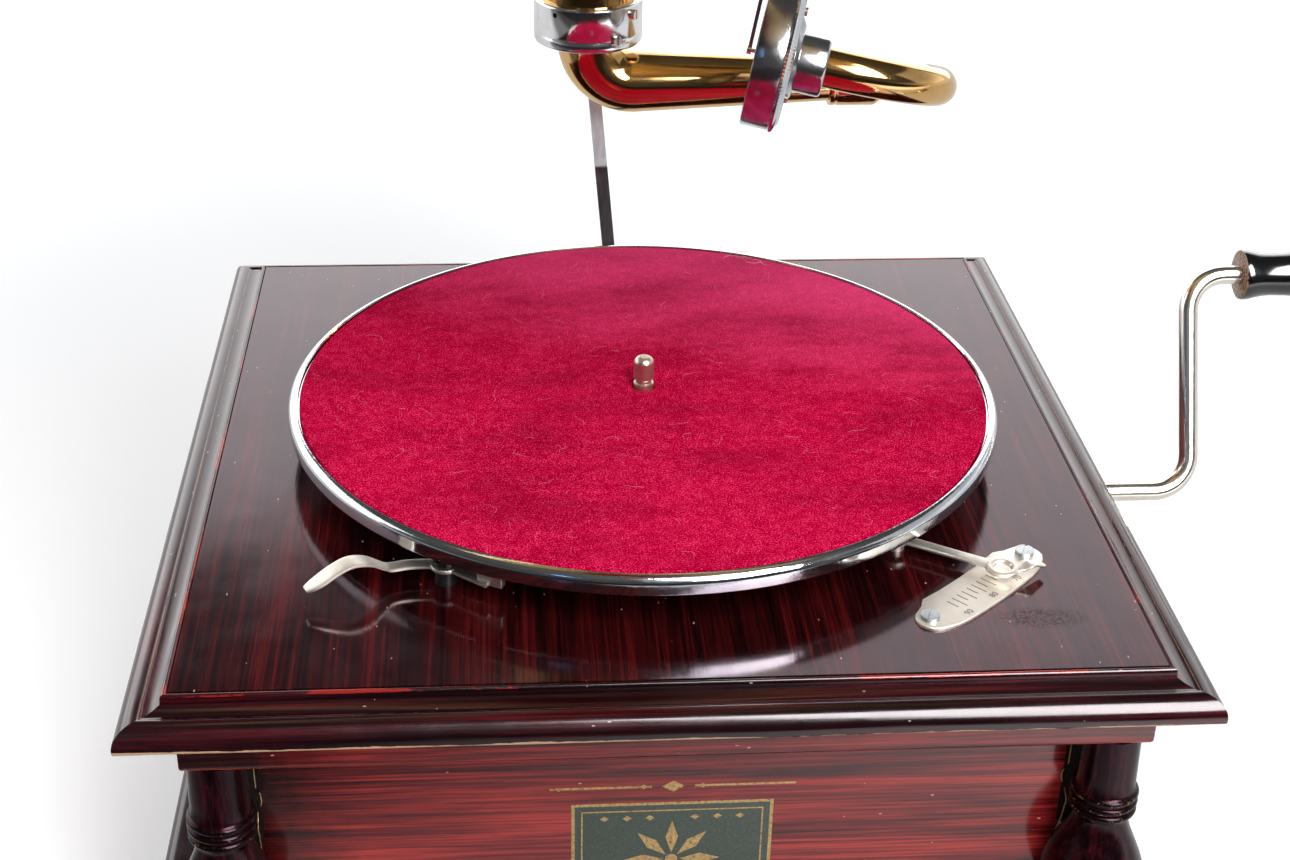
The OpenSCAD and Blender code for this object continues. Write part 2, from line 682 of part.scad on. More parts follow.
// The sleeve turns on the arm's spigot, and the bent tube carries the soundbox
module gooseneck_tube() {
    sleeve_r = 10.3;
    inner_r = neck_r - tube_wall - 0.6;
    color(brass) difference() {
        union() {
            swept_tube(neck_path, neck_r, 1);
            at_soundbox() translate([0, 0, boss_end - neck_in]) cylinder(r = neck_r, h = neck_in + 0.2);
            translate([arm_end_x + 0.3, swivel_y, arm_z]) along_x(sleeve_r, 19);
            translate([arm_end_x + 19.3, swivel_y, arm_z]) rotate([0, 90, 0])
                cylinder(r1 = sleeve_r, r2 = neck_r, h = 3);
        }
        swept_tube(neck_path, inner_r, 1.01);
        at_soundbox() translate([0, 0, boss_end - neck_in - 1]) cylinder(r = inner_r, h = neck_in + 1.5);
        translate([arm_end_x - 1, swivel_y, arm_z]) along_x(7 + fit, 20);
        translate([arm_end_x + 5, swivel_y, arm_z]) rotate([35, 0, 0]) translate([0, 0, 5])
            cube([3, 3, 20]);
    }
}

module soundbox_drum() {
    color(chrome) at_soundbox() difference() {
        cylinder(r = box_r, h = box_depth);
        translate([0, 0, -1]) cylinder(r = 21, h = box_depth + 2);
        translate([0, 0, 2.4]) cylinder(r = 25.5, h = box_depth);
    }
}

module soundbox_back() {
    color(chrome) at_soundbox() difference() {
        union() {
            translate([0, 0, 7.2]) cylinder(r = 25.4, h = box_depth - 7.1);
            translate([0, 0, box_depth]) cylinder(r = 22.8, h = 3.4);
            translate([0, 0, box_depth + 3.3]) cylinder(r1 = 17.5, r2 = 13.5, h = 2.2);
            translate([0, 0, box_depth + 5]) cylinder(r = 11.8, h = boss_end - box_depth - 5);
        }
        translate([0, 0, -1]) cylinder(r = 6, h = 40);
        translate([0, 0, boss_end - neck_in - 0.2]) cylinder(r = neck_r + fit / 2, h = 12);
        for (way = [60, 180, 300])
            rotate(way) translate([19.6, 0, box_depth]) cylinder(r = 1.05, h = 5);
    }
}

// Knurled bevel ring that clamps the back into the drum
module soundbox_ring() {
    ribs = 60;
    color(chrome) at_soundbox() translate([0, 0, box_depth + 0.1]) difference() {
        union() {
            cylinder(r = box_r + 0.5, h = 1.3);
            translate([0, 0, 1.3]) cylinder(r1 = box_r + 0.5, r2 = 24.6, h = 2);
        }
        translate([0, 0, -1]) cylinder(r = 22.9, h = 6);
        for (i = [0:ribs - 1])
            rotate(i * 360 / ribs) translate([box_r + 0.6, 0, -0.5]) cylinder(r = 0.5, h = 3, $fn = 4);
    }
}

module soundbox_screws() {
    color(nickel) at_soundbox() for (way = [60, 180, 300])
        rotate(way) translate([19.6, 0, box_depth + 3.4]) screw(1.7, 1.2, 1, 2.4);
}

module diaphragm() {
    color([0.85, 0.84, 0.78]) at_soundbox() translate([0, 0, 4.7]) cylinder(r = 25, h = 0.3);
}

module diaphragm_gaskets() {
    color([0.12, 0.1, 0.1]) at_soundbox() for (z = [2.6, 5.1])
        translate([0, 0, z]) ring(25.3, 21.5, 2);
}

// Lever from the needle's socket at the edge to the middle of the diaphragm
module needle_bar() {
    color(nickel) at_soundbox() difference() {
        union() {
            translate([-36, 0, 1.8]) rotate([0, 90, 0]) cylinder(r = 2.7, h = 7.4);
            translate([-31, -1.1, -3.2]) cube([31, 2.2, 1.4]);
            translate([-31, -1.6, -3.2]) cube([3.4, 3.2, 3.1]);
            translate([-27, -5, -1.9]) cube([4, 10, 1.9]);
            translate([0, 0, -3.4]) cylinder(r = 1.7, h = 1.7);
            translate([0, 0, -1.8]) cylinder(r = 0.8, h = 6.4);
        }
        translate([-37, 0, 1.8]) rotate([0, 90, 0]) cylinder(r = 0.8, h = 6.5);
        translate([-33.5, 0, -1]) cylinder(r = 1 + fit, h = 2.4);
    }
}

module needle() {
    color(nickel) at_soundbox() translate([-46, 0, 1.8]) rotate([0, 90, 0]) union() {
        cylinder(r1 = 0.15, r2 = 0.78, h = 5);
        translate([0, 0, 5]) cylinder(r = 0.78, h = 10);
    }
}

module needle_screw() {
    color(nickel) at_soundbox() union() {
        translate([-33.5, 0, -2.2]) cylinder(r = 1, h = 3.1);
        translate([-33.5, 0, -7.2]) cylinder(r = 2.2, h = 5);
    }
}

module platter() {
    under = top + felt_top - 3.6;
    color(chrome) rotate_extrude($fn = 180) polygon(concat(
        [[9, under], [platter_r - 2.8, under], [platter_r - 2.4, top + 13.2]],
        arc(platter_r - 1, top + 14.2, 1, -100, 0, 4),
        arc(platter_r - 3, top + felt_top - 3.2, 3, 0, 75, 6),
        [[platter_r - 2.9, top + felt_top - 0.4], [platter_r - 3.4, under + 1.6], [9, under + 1.6]]));
}

module platter_hub() {
    under = top + felt_top - 3.6;
    color(steel) translate([0, 0, top + 8]) ring(8.9, spindle_r + fit / 2, under + 1.6 - top - 8);
}

module felt_mat() {
    color([0.75, 0.02, 0.25]) translate([0, 0, top + felt_top - 2])
        ring(felt_r, spindle_r + 0.4, 2, $fn = 180);
}

// Spindle with a rounded tip, a waisted foot above the felt and a pinion at the bottom
module spindle() {
    felt_z = top + felt_top;
    color(nickel) union() {
        rotate_extrude() polygon(concat(
            [[0, lower_plate_z - 2], [2.5, lower_plate_z - 2], [2.5, lower_plate_z + plate_t + 0.4],
                [spindle_r, lower_plate_z + plate_t + 0.4], [spindle_r, felt_z + 1.2],
                [spindle_r - 0.7, felt_z + 1.6], [spindle_r - 0.7, felt_z + 2.4],
                [spindle_r, felt_z + 3.2]],
            arc(spindle_r - 2.4, spindle_tip - 2.4, 2.4, 0, 90, 6),
            [[0, spindle_tip]]));
        translate([0, 0, 64]) spur_wheel(pinion_teeth, 11, middle_way);
    }
}

module worm_wheel() {
    teeth = 40;
    color(brass) translate([0, 0, worm_z - 3]) difference() {
        linear_extrude(6) polygon([for (i = [0:2 * teeth - 1]) let (a = i * 180 / teeth,
            r = worm_wheel_r + (i % 2 == 0 ? 0 : -1)) r * [cos(a), sin(a)]]);
        translate([0, 0, -1]) cylinder(r = spindle_r + fit / 2, h = 8);
    }
}

module spring_barrel() {
    color(steel) translate([barrel_at[0], barrel_at[1], 0]) difference() {
        union() {
            translate([0, 0, great_z]) spur_wheel(great_teeth, 4, great_way);
            translate([0, 0, great_z + 4]) cylinder(r = barrel_r, h = barrel_z + barrel_h - great_z - 4);
        }
        translate([0, 0, barrel_z]) cylinder(r = barrel_r - 1.5, h = barrel_h + 1);
        translate([0, 0, great_z - 1]) cylinder(r = 5 + fit, h = 20);
    }
}

module barrel_cover() {
    color(steel) translate([barrel_at[0], barrel_at[1], barrel_z + barrel_h - 1.6])
        ring(barrel_r - 1.55, 5 + fit, 1.6);
}

// The wound spring as the block of turns that fills the barrel
module mainspring() {
    color(iron) translate([barrel_at[0], barrel_at[1], barrel_z + 0.3])
        ring(barrel_r - 1.6, 12, barrel_h - 2.4);
}

// Arbor with the ratchet wheel and the crown wheel that the crank's pinion drives
module winding_arbor() {
    ratchet = 20;
    step = 360 / crown_teeth;
    color(steel) translate([barrel_at[0], barrel_at[1], 0]) union() {
        translate([0, 0, lower_plate_z]) cylinder(r = 4, h = 8);
        translate([0, 0, lower_plate_z + plate_t + 0.4])
            cylinder(r = 5, h = motor_plate_z + 1.5 - lower_plate_z - plate_t - 0.4);
        translate([0, 0, crown_z]) cylinder(r = crown_pitch + 3, h = crank_z - pinion_pitch - 1.1 - crown_z);
        for (i = [0:crown_teeth - 1])
            rotate((i + 0.5) * step) translate([crown_pitch - 3, -0.45, crank_z - pinion_pitch - 1.3])
                cube([5.8, 0.9, 1.9]);
        translate([0, 0, 150]) linear_extrude(3) polygon([for (i = [0:ratchet - 1])
            let (a = i * 360 / ratchet) each [12 * [cos(a), sin(a)], 9.6 * [cos(a + 1), sin(a + 1)]]]);
    }
}

pawl_way = 130;
pawl_reach = 21;
pawl_at = barrel_at + pawl_reach * [cos(pawl_way), sin(pawl_way)];

module ratchet_pawl() {
    color(steel) translate([pawl_at[0], pawl_at[1], 150]) union() {
        cylinder(r = 1.95, h = motor_plate_z + 1.5 - 150);
        cylinder(r = 3.2, h = 3);
        rotate(pawl_way + 180 - 31) translate([0, -1.2, 0]) cube([10, 2.4, 3]);
    }
}

module intermediate_arbor() {
    color(steel) translate([middle_at[0], middle_at[1], 0]) union() {
        translate([0, 0, lower_plate_z]) cylinder(r = 2.5, h = 4);
        translate([0, 0, lower_plate_z + plate_t + 0.4])
            cylinder(r = 3, h = motor_plate_z + 1.5 - lower_plate_z - plate_t - 0.4);
        translate([0, 0, 67]) spur_wheel(middle_teeth, 4, middle_way + 180 + 180 / middle_teeth);
        translate([0, 0, 76]) spur_wheel(pinion_teeth, 8, great_way + 180 + 180 / pinion_teeth);
    }
}

// Governor: a worm at the spindle, three sprung weights and a sliding friction disc
module at_governor() {
    translate([0, governor_y, worm_z]) children();
}

governor_collar_x = 14;
governor_disc_x = 50;

module governor_shaft() {
    color(steel) at_governor() union() {
        translate([post_places[0] - 2.4, 0, 0]) along_x(1.5, post_places[1] - post_places[0] + 4.8);
        translate([post_places[0] + 2.9, 0, 0]) along_x(2.4, post_places[1] - post_places[0] - 5.8);
        for (x = [-7:2:7])
            translate([x - 0.5, 0, 0]) along_x(worm_r, 1);
        translate([-7.5, 0, 0]) along_x(worm_r - 0.8, 15);
        translate([governor_collar_x, 0, 0]) along_x(7, 4);
    }
}

module governor_weights() {
    middle = (governor_collar_x + 4 + governor_disc_x - 5) / 2;
    color(brass) at_governor() for (way = [0:120:240])
        rotate([way, 0, 0]) {
            translate([governor_collar_x + 4, -2, 5.6]) cube([governor_disc_x - governor_collar_x - 9, 4, 0.6]);
            translate([middle, 0, 8]) sphere(r = 4, $fn = 32);
        }
}

module governor_disc() {
    color(brass) at_governor() difference() {
        union() {
            translate([governor_disc_x, 0, 0]) along_x(governor_disc_r, 2.5);
            translate([governor_disc_x - 5, 0, 0]) along_x(7, 5.1);
        }
        translate([governor_disc_x - 6, 0, 0]) along_x(2.4 + fit, 10);
    }
}

// Eccentric cam on the speed lever's shaft, beside the regulator lever's tail
cam_r = 6;
cam_at = speed_pivot + 3 * [cos(240), sin(240)];

// Lever under the motor plate with a felt pad facing the governor's disc
module regulator_lever() {
    pad_y = governor_y - 9;
    pad_x = governor_disc_x + 2.9;
    cam_gap = 0.5;
    tail_r = 2.5;
    tail = cam_at - [cam_r + cam_gap + tail_r, 0];
    color(nickel) union() {
        translate([regulator_pivot[0], regulator_pivot[1], 149])
            cylinder(r = 2, h = motor_plate_z + 1.5 - 149);
        hull() {
            translate([regulator_pivot[0], regulator_pivot[1], 149]) cylinder(r = 4, h = 3, $fn = 32);
            translate([pad_x + 4.5, pad_y, 149]) cylinder(r = 2.5, h = 3, $fn = 32);
        }
        hull() {
            translate([regulator_pivot[0], regulator_pivot[1], 149]) cylinder(r = 4, h = 3, $fn = 32);
            translate([tail[0], tail[1], 149]) cylinder(r = tail_r, h = 3, $fn = 32);
        }
        translate([pad_x + 3, pad_y - 3, worm_z - 3]) cube([2, 6, 149 - worm_z + 4]);
        translate([pad_x, pad_y, worm_z]) along_x(2.6, 3.1);
    }
}

// Flat lever on the board with its pointer ring, and the cam on its shaft below
module speed_lever() {
    way = speed_eye - speed_pivot;
    reach = norm(way);
    turn = atan2(way[1], way[0]);
    strip = 1.4;
    color(nickel) difference() {
        union() {
            translate([speed_pivot[0], speed_pivot[1], top + 3.2]) rotate(turn) {
                cylinder(r = 5, h = strip);
                translate([0, -2.2, 0]) cube([reach - 3, 4.4, strip]);
                translate([reach, 0, 0]) cylinder(r = 4.6, h = strip);
                translate([reach, 0, 0]) rotate(-turn) translate([0, -2.2, 0]) cube([14, 4.4, strip]);
                translate([reach, 0, 0]) rotate(-turn) translate([14, 0, 0]) cylinder(r = 2.2, h = strip);
            }
            translate([speed_pivot[0], speed_pivot[1], 146]) cylinder(r = 3, h = top + 6.4 - 146);
            translate([speed_pivot[0], speed_pivot[1], top + 4.5]) cylinder(r = 4.2, h = 1.9);
            translate([cam_at[0], cam_at[1], 147]) cylinder(r = cam_r, h = 7);
        }
        translate([speed_eye[0], speed_eye[1], top]) cylinder(r = 2.6, h = 8);
    }
}

// Thin lever with a curved finger tip outside and a brake pad inside the rim
module brake_lever() {
    z = top + 5.4;
    strip = 1.4;
    stops = [brake_pivot, [-87.5, -95.5], [-100, -99.5], [-107, -103.5], [-114, -108.5]];
    widths = [5, 2.6, 3.2, 3.4, 1.8];
    pad = [-55.5, -105.6];
    color(nickel) difference() {
        union() {
            for (i = [0:3])
                hull() for (k = [i, i + 1])
                    translate([stops[k][0], stops[k][1], z]) cylinder(r = widths[k], h = strip, $fn = 32);
            hull() {
                translate([brake_pivot[0], brake_pivot[1], z]) cylinder(r = 5, h = strip, $fn = 32);
                translate([pad[0], pad[1], z]) cylinder(r = 3.4, h = strip, $fn = 32);
            }
            translate([pad[0], pad[1], z]) rotate(62) translate([-1.4, -4.4, 0]) cube([2.8, 8.8, 10.6]);
        }
        translate([brake_pivot[0], brake_pivot[1], top]) cylinder(r = 2 + fit, h = 12);
    }
}

// Shaft that the crank screws into, with the pinion that drives the crown wheel
module winding_shaft() {
    inner = barrel_at[0] + crown_pitch - 3;
    color(steel) translate([0, crank_y, crank_z]) union() {
        translate([inner - 2, 0, 0]) along_x(4, 157 - inner + 2);
        translate([inner, 0, 0]) rotate([0, 90, 0]) spur_wheel(pinion_teeth, 6, 0);
        translate([152.5, 0, 0]) along_x(6.4, 4.5);
    }
}

module at_crank() {
    translate([0, crank_y, crank_z]) rotate([-crank_back, 0, 0]) children();
}

// Rod bent twice, with its thin end inside the grip
module crank_rod() {
    bend = 14;
    rod = crank_rod_r;
    color(nickel) at_crank() {
        translate([157.1, 0, 0]) along_x(rod, crank_arm_x - bend - 157.1);
        translate([crank_arm_x - bend, 0, bend]) rotate([90, 0, 0]) rotate([0, 0, -90])
            rotate_extrude(angle = 90) translate([bend, 0]) circle(r = rod);
        translate([crank_arm_x, 0, bend]) cylinder(r = rod, h = crank_throw - 2 * bend);
        translate([crank_arm_x + bend, 0, crank_throw - bend]) rotate([90, 0, 0]) rotate([0, 0, 90])
            rotate_extrude(angle = 90) translate([bend, 0]) circle(r = rod);
        translate([crank_arm_x + bend, 0, crank_throw]) along_x(rod, grip_length + 3);
        translate([grip_start + grip_length + 0.3, 0, crank_throw]) along_x(5.5, 2.2);
    }
}

module crank_grip() {
    l = grip_length;
    color([0.05, 0.05, 0.05]) at_crank() translate([grip_start, 0, crank_throw])
        rotate([0, 90, 0]) rotate_extrude() polygon(concat(
            [[crank_rod_r + fit, 0], [grip_r, 0], [grip_r, 1.2], [grip_r - 0.3, 3],
                [grip_r - 1.5, 10], [grip_r - 1.4, 18], [grip_r - 0.2, 30], [grip_r + 1.4, 44],
                [grip_r + 2.4, 56], [grip_r + 2.2, 66]],
            arc(grip_r - 5.4, l - 8, 7.4, 20, 78, 6),
            [[crank_rod_r + fit, l]]));
}

base_board();
plinth_moulding();
front_panel();
back_panel();
left_panel();
right_panel();
column_front_left();
column_front_right();
column_back_left();
column_back_right();
frieze_frame();
top_board();
top_moulding();
back_bracket();
bracket_screws();
collar();
speed_plate();
speed_plate_screws();
crank_bush();
motor_plate();
motor_screws();
motor_pillars();
lower_plate();
winding_bracket();
governor_bearings();
brake_screw();
horn_elbow();
horn_neck();
horn_bell();
tonearm_tube();
gooseneck_tube();
soundbox_drum();
soundbox_back();
soundbox_ring();
soundbox_screws();
diaphragm();
diaphragm_gaskets();
needle_bar();
needle();
needle_screw();
platter();
platter_hub();
felt_mat();
spindle();
worm_wheel();
spring_barrel();
barrel_cover();
mainspring();
winding_arbor();
ratchet_pawl();
intermediate_arbor();
governor_shaft();
governor_weights();
governor_disc();
regulator_lever();
speed_lever();
brake_lever();
winding_shaft();
crank_rod();
crank_grip();
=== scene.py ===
"""Horn gramophone: the looks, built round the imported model. Metres; makers' sizes are in millimetres."""
import random
from math import atan2, copysign, cos, hypot, pi, radians, sin

import bmesh
import bpy
from mathutils import Matrix, Vector, noise


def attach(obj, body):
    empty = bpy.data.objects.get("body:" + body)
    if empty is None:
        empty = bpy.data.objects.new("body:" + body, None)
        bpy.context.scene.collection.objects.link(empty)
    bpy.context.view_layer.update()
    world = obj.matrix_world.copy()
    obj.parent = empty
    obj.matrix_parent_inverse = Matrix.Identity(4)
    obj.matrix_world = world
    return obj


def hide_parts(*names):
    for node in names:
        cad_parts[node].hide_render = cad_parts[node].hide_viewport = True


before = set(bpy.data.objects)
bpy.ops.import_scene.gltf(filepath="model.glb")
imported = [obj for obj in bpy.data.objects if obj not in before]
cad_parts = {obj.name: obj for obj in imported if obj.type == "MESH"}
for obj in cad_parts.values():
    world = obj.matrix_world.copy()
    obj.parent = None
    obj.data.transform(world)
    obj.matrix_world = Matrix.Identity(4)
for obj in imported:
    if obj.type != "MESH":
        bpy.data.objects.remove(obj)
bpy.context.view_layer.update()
scene = bpy.context.scene
scene.view_settings.view_transform = "Standard"
noise.seed_set(12)   # the same uneven edges in every run

MM = 0.001
TOP = 178.0          # the top board's face above the floor
BOARD_UNDER = 166.0
FRIEZE_UNDER = 147.0
PLINTH_TOP = 52.0
BOARD_HALF = 151.0
QUIRK_AT = 158.95    # where the top moulding steps from its cove to its nose
PANEL_HALF = 131.0
COLUMN_AT = 141.0    # each column's axis from the middle of the case
CORNERS = ((-1, -1), (1, -1), (1, 1), (-1, 1))
SWIVEL = Vector((-13.75, 150.0, 0.0))
ARM_Z = 260.5
BOX_FACE = Vector((48.6, 100.0, 289.6))
RIGHTWARD, BACKWARD, UPWARD = Vector((1, 0, 0)), Vector((0, 1, 0)), Vector((0, 0, 1))

BOARD_COLOURS = ("#120304", "#200608", "#380a0c", "#571214")
PANEL_COLOURS = ("#3a0c10", "#66161a", "#8c2424", "#b2342e")
MOULDING_COLOURS = ("#120306", "#1f060b", "#360a12", "#540f18")


# finishes
def paint(code):
    """sRGB hex to the linear colour that the shaders work in."""
    steps = [int(code[i:i + 2], 16) / 255 for i in (1, 3, 5)]
    return tuple(c / 12.92 if c <= 0.04045 else ((c + 0.055) / 1.055) ** 2.4 for c in steps) + (1.0,)


def add(tree, kind, *places, stops=None, **settings):
    """Adds a shader node. places fill its inputs in order, settings its properties or named inputs;
    a socket is linked, a hex string is a colour, and stops are a ramp's (place, colour) pairs."""
    made = tree.nodes.new("ShaderNode" + kind)
    chosen = {name: value for name, value in settings.items() if hasattr(made, name)}
    for name, value in chosen.items():
        setattr(made, name, value)
    sockets = list(zip(made.inputs, places))
    sockets += [(made.inputs[name.replace("_", " ")], value)
                for name, value in settings.items() if name not in chosen]
    for socket, value in sockets:
        if isinstance(value, bpy.types.NodeSocket):
            tree.links.new(value, socket)
        elif value is not None:
            socket.default_value = paint(value) if isinstance(value, str) else value
    if stops:
        band = made.color_ramp.elements
        while len(band) < len(stops):
            band.new(0.5)
        for mark, (place, colour) in zip(band, stops):
            mark.position, mark.color = place, paint(colour)
    return made.outputs[0] if made.outputs else made


def new_finish(name):
    """An empty material, its tree and the piece's own coordinates in metres."""
    finish = bpy.data.materials.new(name)
    finish.use_nodes = True
    tree = finish.node_tree
    tree.nodes.clear()
    spot = tree.nodes.new("ShaderNodeTexCoord").outputs["Object"]
    return finish, tree, spot


def grain_way(tree, spot, along, fine, stretch):
    """Coordinates of a grain that runs along one axis: fine per metre across it, and stretch times longer."""
    scale = [fine, fine, fine]
    scale["xyz".index(along)] = fine / stretch
    return add(tree, "Mapping", Vector=spot, Scale=scale)


def stained_grain(tree, spot, along, colours):
    """Long streaks about 1 mm wide in four shades of stain, with near-black pores."""
    broad = add(tree, "TexNoise", Vector=grain_way(tree, spot, along, 110, 16), Scale=1.0, Detail=3.0,
                Roughness=0.6)
    streak = add(tree, "TexNoise", Vector=grain_way(tree, spot, along, 800, 60), Scale=1.0, Detail=4.0,
                 Roughness=0.65)
    pores = add(tree, "TexNoise", Vector=grain_way(tree, spot, along, 1700, 70), Scale=1.0, Detail=2.0,
                Roughness=0.5)
    broad = add(tree, "Math", broad, 0.42, operation="MULTIPLY")
    streak = add(tree, "Math", streak, 0.58, operation="MULTIPLY")
    wave = add(tree, "Math", broad, streak, operation="ADD")
    wood = add(tree, "ValToRGB", wave, stops=list(zip((0.37, 0.46, 0.53, 0.62), colours)))
    pits = add(tree, "ValToRGB", pores, stops=[(0.39, "#a0a0a0"), (0.46, "#000000")])
    return add(tree, "MixRGB", pits, wood, "#0d0203")


def shaded_end(tree, spot, run, end_shade, colour):
    """Stain that grows black in ragged clouds towards the low end of a length, where it meets the corner
    column: painted shade of that corner.
    """
    start, full = end_shade
    ragged = 26.0
    cloud = add(tree, "TexNoise", Vector=spot, Scale=110.0, Detail=5.0, Roughness=0.7)
    cloud = add(tree, "Math", cloud, ragged * MM, operation="MULTIPLY")
    off = add(tree, "Math", run, -1.0, operation="MULTIPLY")
    off = add(tree, "Math", off, cloud, operation="ADD")
    black = add(tree, "MapRange", off, (start + ragged / 2) * MM, (full + ragged / 2) * MM, 0.0, 0.88)
    return add(tree, "MixRGB", black, colour, "#0b0405")


def dust_nibs(tree, spot, along):
    """Specks of dust caught in the lacquer: 1 on a nib, else 0."""
    nib = add(tree, "TexVoronoi", Vector=grain_way(tree, spot, along, 300, 2.2), Scale=1.0)
    nib = add(tree, "Math", nib, 0.080, operation="LESS_THAN")
    sparse = add(tree, "TexNoise", Vector=spot, Scale=90.0, Detail=3.0)
    sparse = add(tree, "Math", sparse, 0.56, operation="GREATER_THAN")
    return add(tree, "Math", nib, sparse, operation="MULTIPLY")


def worn_edges(tree, spot, place, along, worn_under, colour):
    """Stain rubbed to a shade in a band above a level, most at the left; the nose above it rubbed to red,
    and the moulding's quirk to a thin pale line."""
    level, rise, shade = worn_under
    rub = add(tree, "TexNoise", Vector=grain_way(tree, spot, along, 220, 9), Scale=1.0, Detail=5.0,
              Roughness=0.7)
    near = add(tree, "MapRange", place["Z"], level * MM, (level + rise) * MM, 1.0, 0.0)
    over = add(tree, "Math", place["Z"], (level - 1) * MM, operation="GREATER_THAN")
    near = add(tree, "Math", near, over, operation="MULTIPLY")
    near = add(tree, "Math", near, rub, operation="MULTIPLY")
    handled = add(tree, "MapRange", place["X"], -0.10, 0.03, 1.0, 0.62)
    near = add(tree, "Math", near, handled, operation="MULTIPLY")
    bare = add(tree, "Math", near, 0.24, operation="GREATER_THAN")
    colour = add(tree, "MixRGB", bare, colour, shade)
    high = add(tree, "MapRange", place["Z"], (level + 10.2) * MM, (level + 11.4) * MM, 0.0, 1.0)
    high = add(tree, "Math", high, rub, operation="MULTIPLY")
    thin = add(tree, "Math", high, 0.56, operation="GREATER_THAN")
    colour = add(tree, "MixRGB", thin, colour, "#9a1d12")
    across = add(tree, "Math", place["Y" if along == "x" else "X"], operation="ABSOLUTE")
    quirk = add(tree, "Math", across, QUIRK_AT * MM, operation="SUBTRACT")
    quirk = add(tree, "Math", quirk, operation="ABSOLUTE")
    line = add(tree, "MapRange", quirk, 0.0001, 0.0004, 1.0, 0.0)
    line = add(tree, "Math", line, rub, operation="MULTIPLY")
    line = add(tree, "Math", line, 0.42, operation="GREATER_THAN")
    upper = add(tree, "Math", place["Z"], (level + 6) * MM, operation="GREATER_THAN")
    line = add(tree, "Math", line, upper, operation="MULTIPLY")
    return add(tree, "MixRGB", line, colour, "#8a6654")


def rubbed_patch(tree, spot, rubbed, colour, dull):
    """A grey oval where the shine is rubbed off in grit."""
    x, y, long, wide = rubbed
    near = add(tree, "Mapping", Vector=spot, Location=(-x / long, -y / wide, 0.0),
               Scale=(1000 / long, 1000 / wide, 0.0))
    far = add(tree, "VectorMath", near, operation="LENGTH").node.outputs["Value"]
    inside = add(tree, "MapRange", far, 0.6, 1.1, 1.0, 0.0)
    grit = add(tree, "TexNoise", Vector=spot, Scale=900.0, Detail=3.0, Roughness=0.7)
    grit = add(tree, "MapRange", grit, 0.42, 0.56, 0.0, 1.0)
    worn = add(tree, "Math", inside, grit, operation="MULTIPLY")
    colour = add(tree, "MixRGB", add(tree, "Math", worn, 0.6, operation="MULTIPLY"), colour, "#2c1a1a")
    dull = add(tree, "Math", dull, add(tree, "Math", worn, 0.4, operation="MULTIPLY"), operation="ADD")
    return colour, dull


def lacquered_mahogany(name, along, worn_under=None, end_shade=None, rubbed=None, gloss=0.085, glint="#ffffff",
                       colours=BOARD_COLOURS):
    """Red-brown mahogany stained dark and brushed with thick gloss lacquer, which holds dust and ripples.
    along: the grain's axis. worn_under: a level, the height of the band above it that is worn, and its shade.
    end_shade: where the painted shade beside the corner column starts and where it is black, from the middle
    towards the low end.
    rubbed: a dulled place (x, y, half length, half width). gloss: the lowest roughness, which scuffs double.
    glint: tint of the lacquer's shine. colours: the grain's shades from dark to red."""
    finish, tree, spot = new_finish(name)
    place = add(tree, "SeparateXYZ", spot).node.outputs
    colour = stained_grain(tree, spot, along, colours)
    # painted shade: the length blackens at its low end, beside the corner column
    if end_shade:
        colour = shaded_end(tree, spot, place["X" if along == "x" else "Y"], end_shade, colour)
    nib = dust_nibs(tree, spot, along)
    colour = add(tree, "MixRGB", add(tree, "Math", nib, 0.7, operation="MULTIPLY"), colour, "#c9b0a4")
    if worn_under:
        colour = worn_edges(tree, spot, place, along, worn_under, colour)
    scuff = add(tree, "TexNoise", Vector=spot, Scale=34.0, Detail=6.0, Roughness=0.7)
    dull = add(tree, "MapRange", scuff, 0.35, 0.75, gloss, 2 * gloss)
    if rubbed:
        colour, dull = rubbed_patch(tree, spot, rubbed, colour, dull)
    ripple = add(tree, "TexNoise", Vector=spot, Scale=26.0, Detail=2.0)
    brushed = add(tree, "TexNoise", Vector=grain_way(tree, spot, along, 620, 60), Scale=1.0, Detail=3.0)
    brushed = add(tree, "Math", brushed, 0.30, operation="MULTIPLY")
    relief = add(tree, "Math", brushed, ripple, operation="ADD")
    relief = add(tree, "Math", relief, add(tree, "Math", nib, 0.5, operation="MULTIPLY"), operation="ADD")
    bump = add(tree, "Bump", Strength=0.16, Distance=0.0006, Height=relief)
    shader = add(tree, "BsdfPrincipled", Base_Color=colour, Roughness=dull, IOR=1.52,
                 Specular_Tint=paint(glint), Normal=bump)
    add(tree, "OutputMaterial", shader)
    return finish


def dark_column_lacquer():
    """Turned hardwood stained near black under gloss lacquer; its rings' crests rubbed to old gold paint."""
    finish, tree, spot = new_finish("turned_wood_black_brown_lacquer")
    around = add(tree, "TexNoise", Vector=grain_way(tree, spot, "z", 420, 10), Scale=1.0, Detail=5.0,
                 Roughness=0.7)
    wood = add(tree, "ValToRGB", around,
               stops=[(0.38, "#0a0204"), (0.50, "#170407"), (0.60, "#300a12"), (0.70, "#4c0f18")])
    crest = add(tree, "VertexColor", layer_name="crest")
    rub = add(tree, "TexNoise", Vector=spot, Scale=420.0, Detail=4.0, Roughness=0.7)
    rubbed = add(tree, "Math", add(tree, "Math", crest, rub, operation="MULTIPLY"), 0.60,
                 operation="GREATER_THAN")
    blacked = add(tree, "MixRGB", crest, wood, "#0a0506")
    colour = add(tree, "MixRGB", rubbed, blacked, "#755833")
    ripple = add(tree, "TexNoise", Vector=spot, Scale=110.0, Detail=5.0, Roughness=0.65)
    bump = add(tree, "Bump", Strength=0.30, Distance=0.0006, Height=ripple)
    dull = add(tree, "MapRange", rub, 0.3, 0.8, 0.14, 0.30)
    shader = add(tree, "BsdfPrincipled", Base_Color=colour, Roughness=dull, IOR=1.42,
                 Specular_Tint=paint("#b090a0"), Normal=bump)
    add(tree, "OutputMaterial", shader)
    return finish


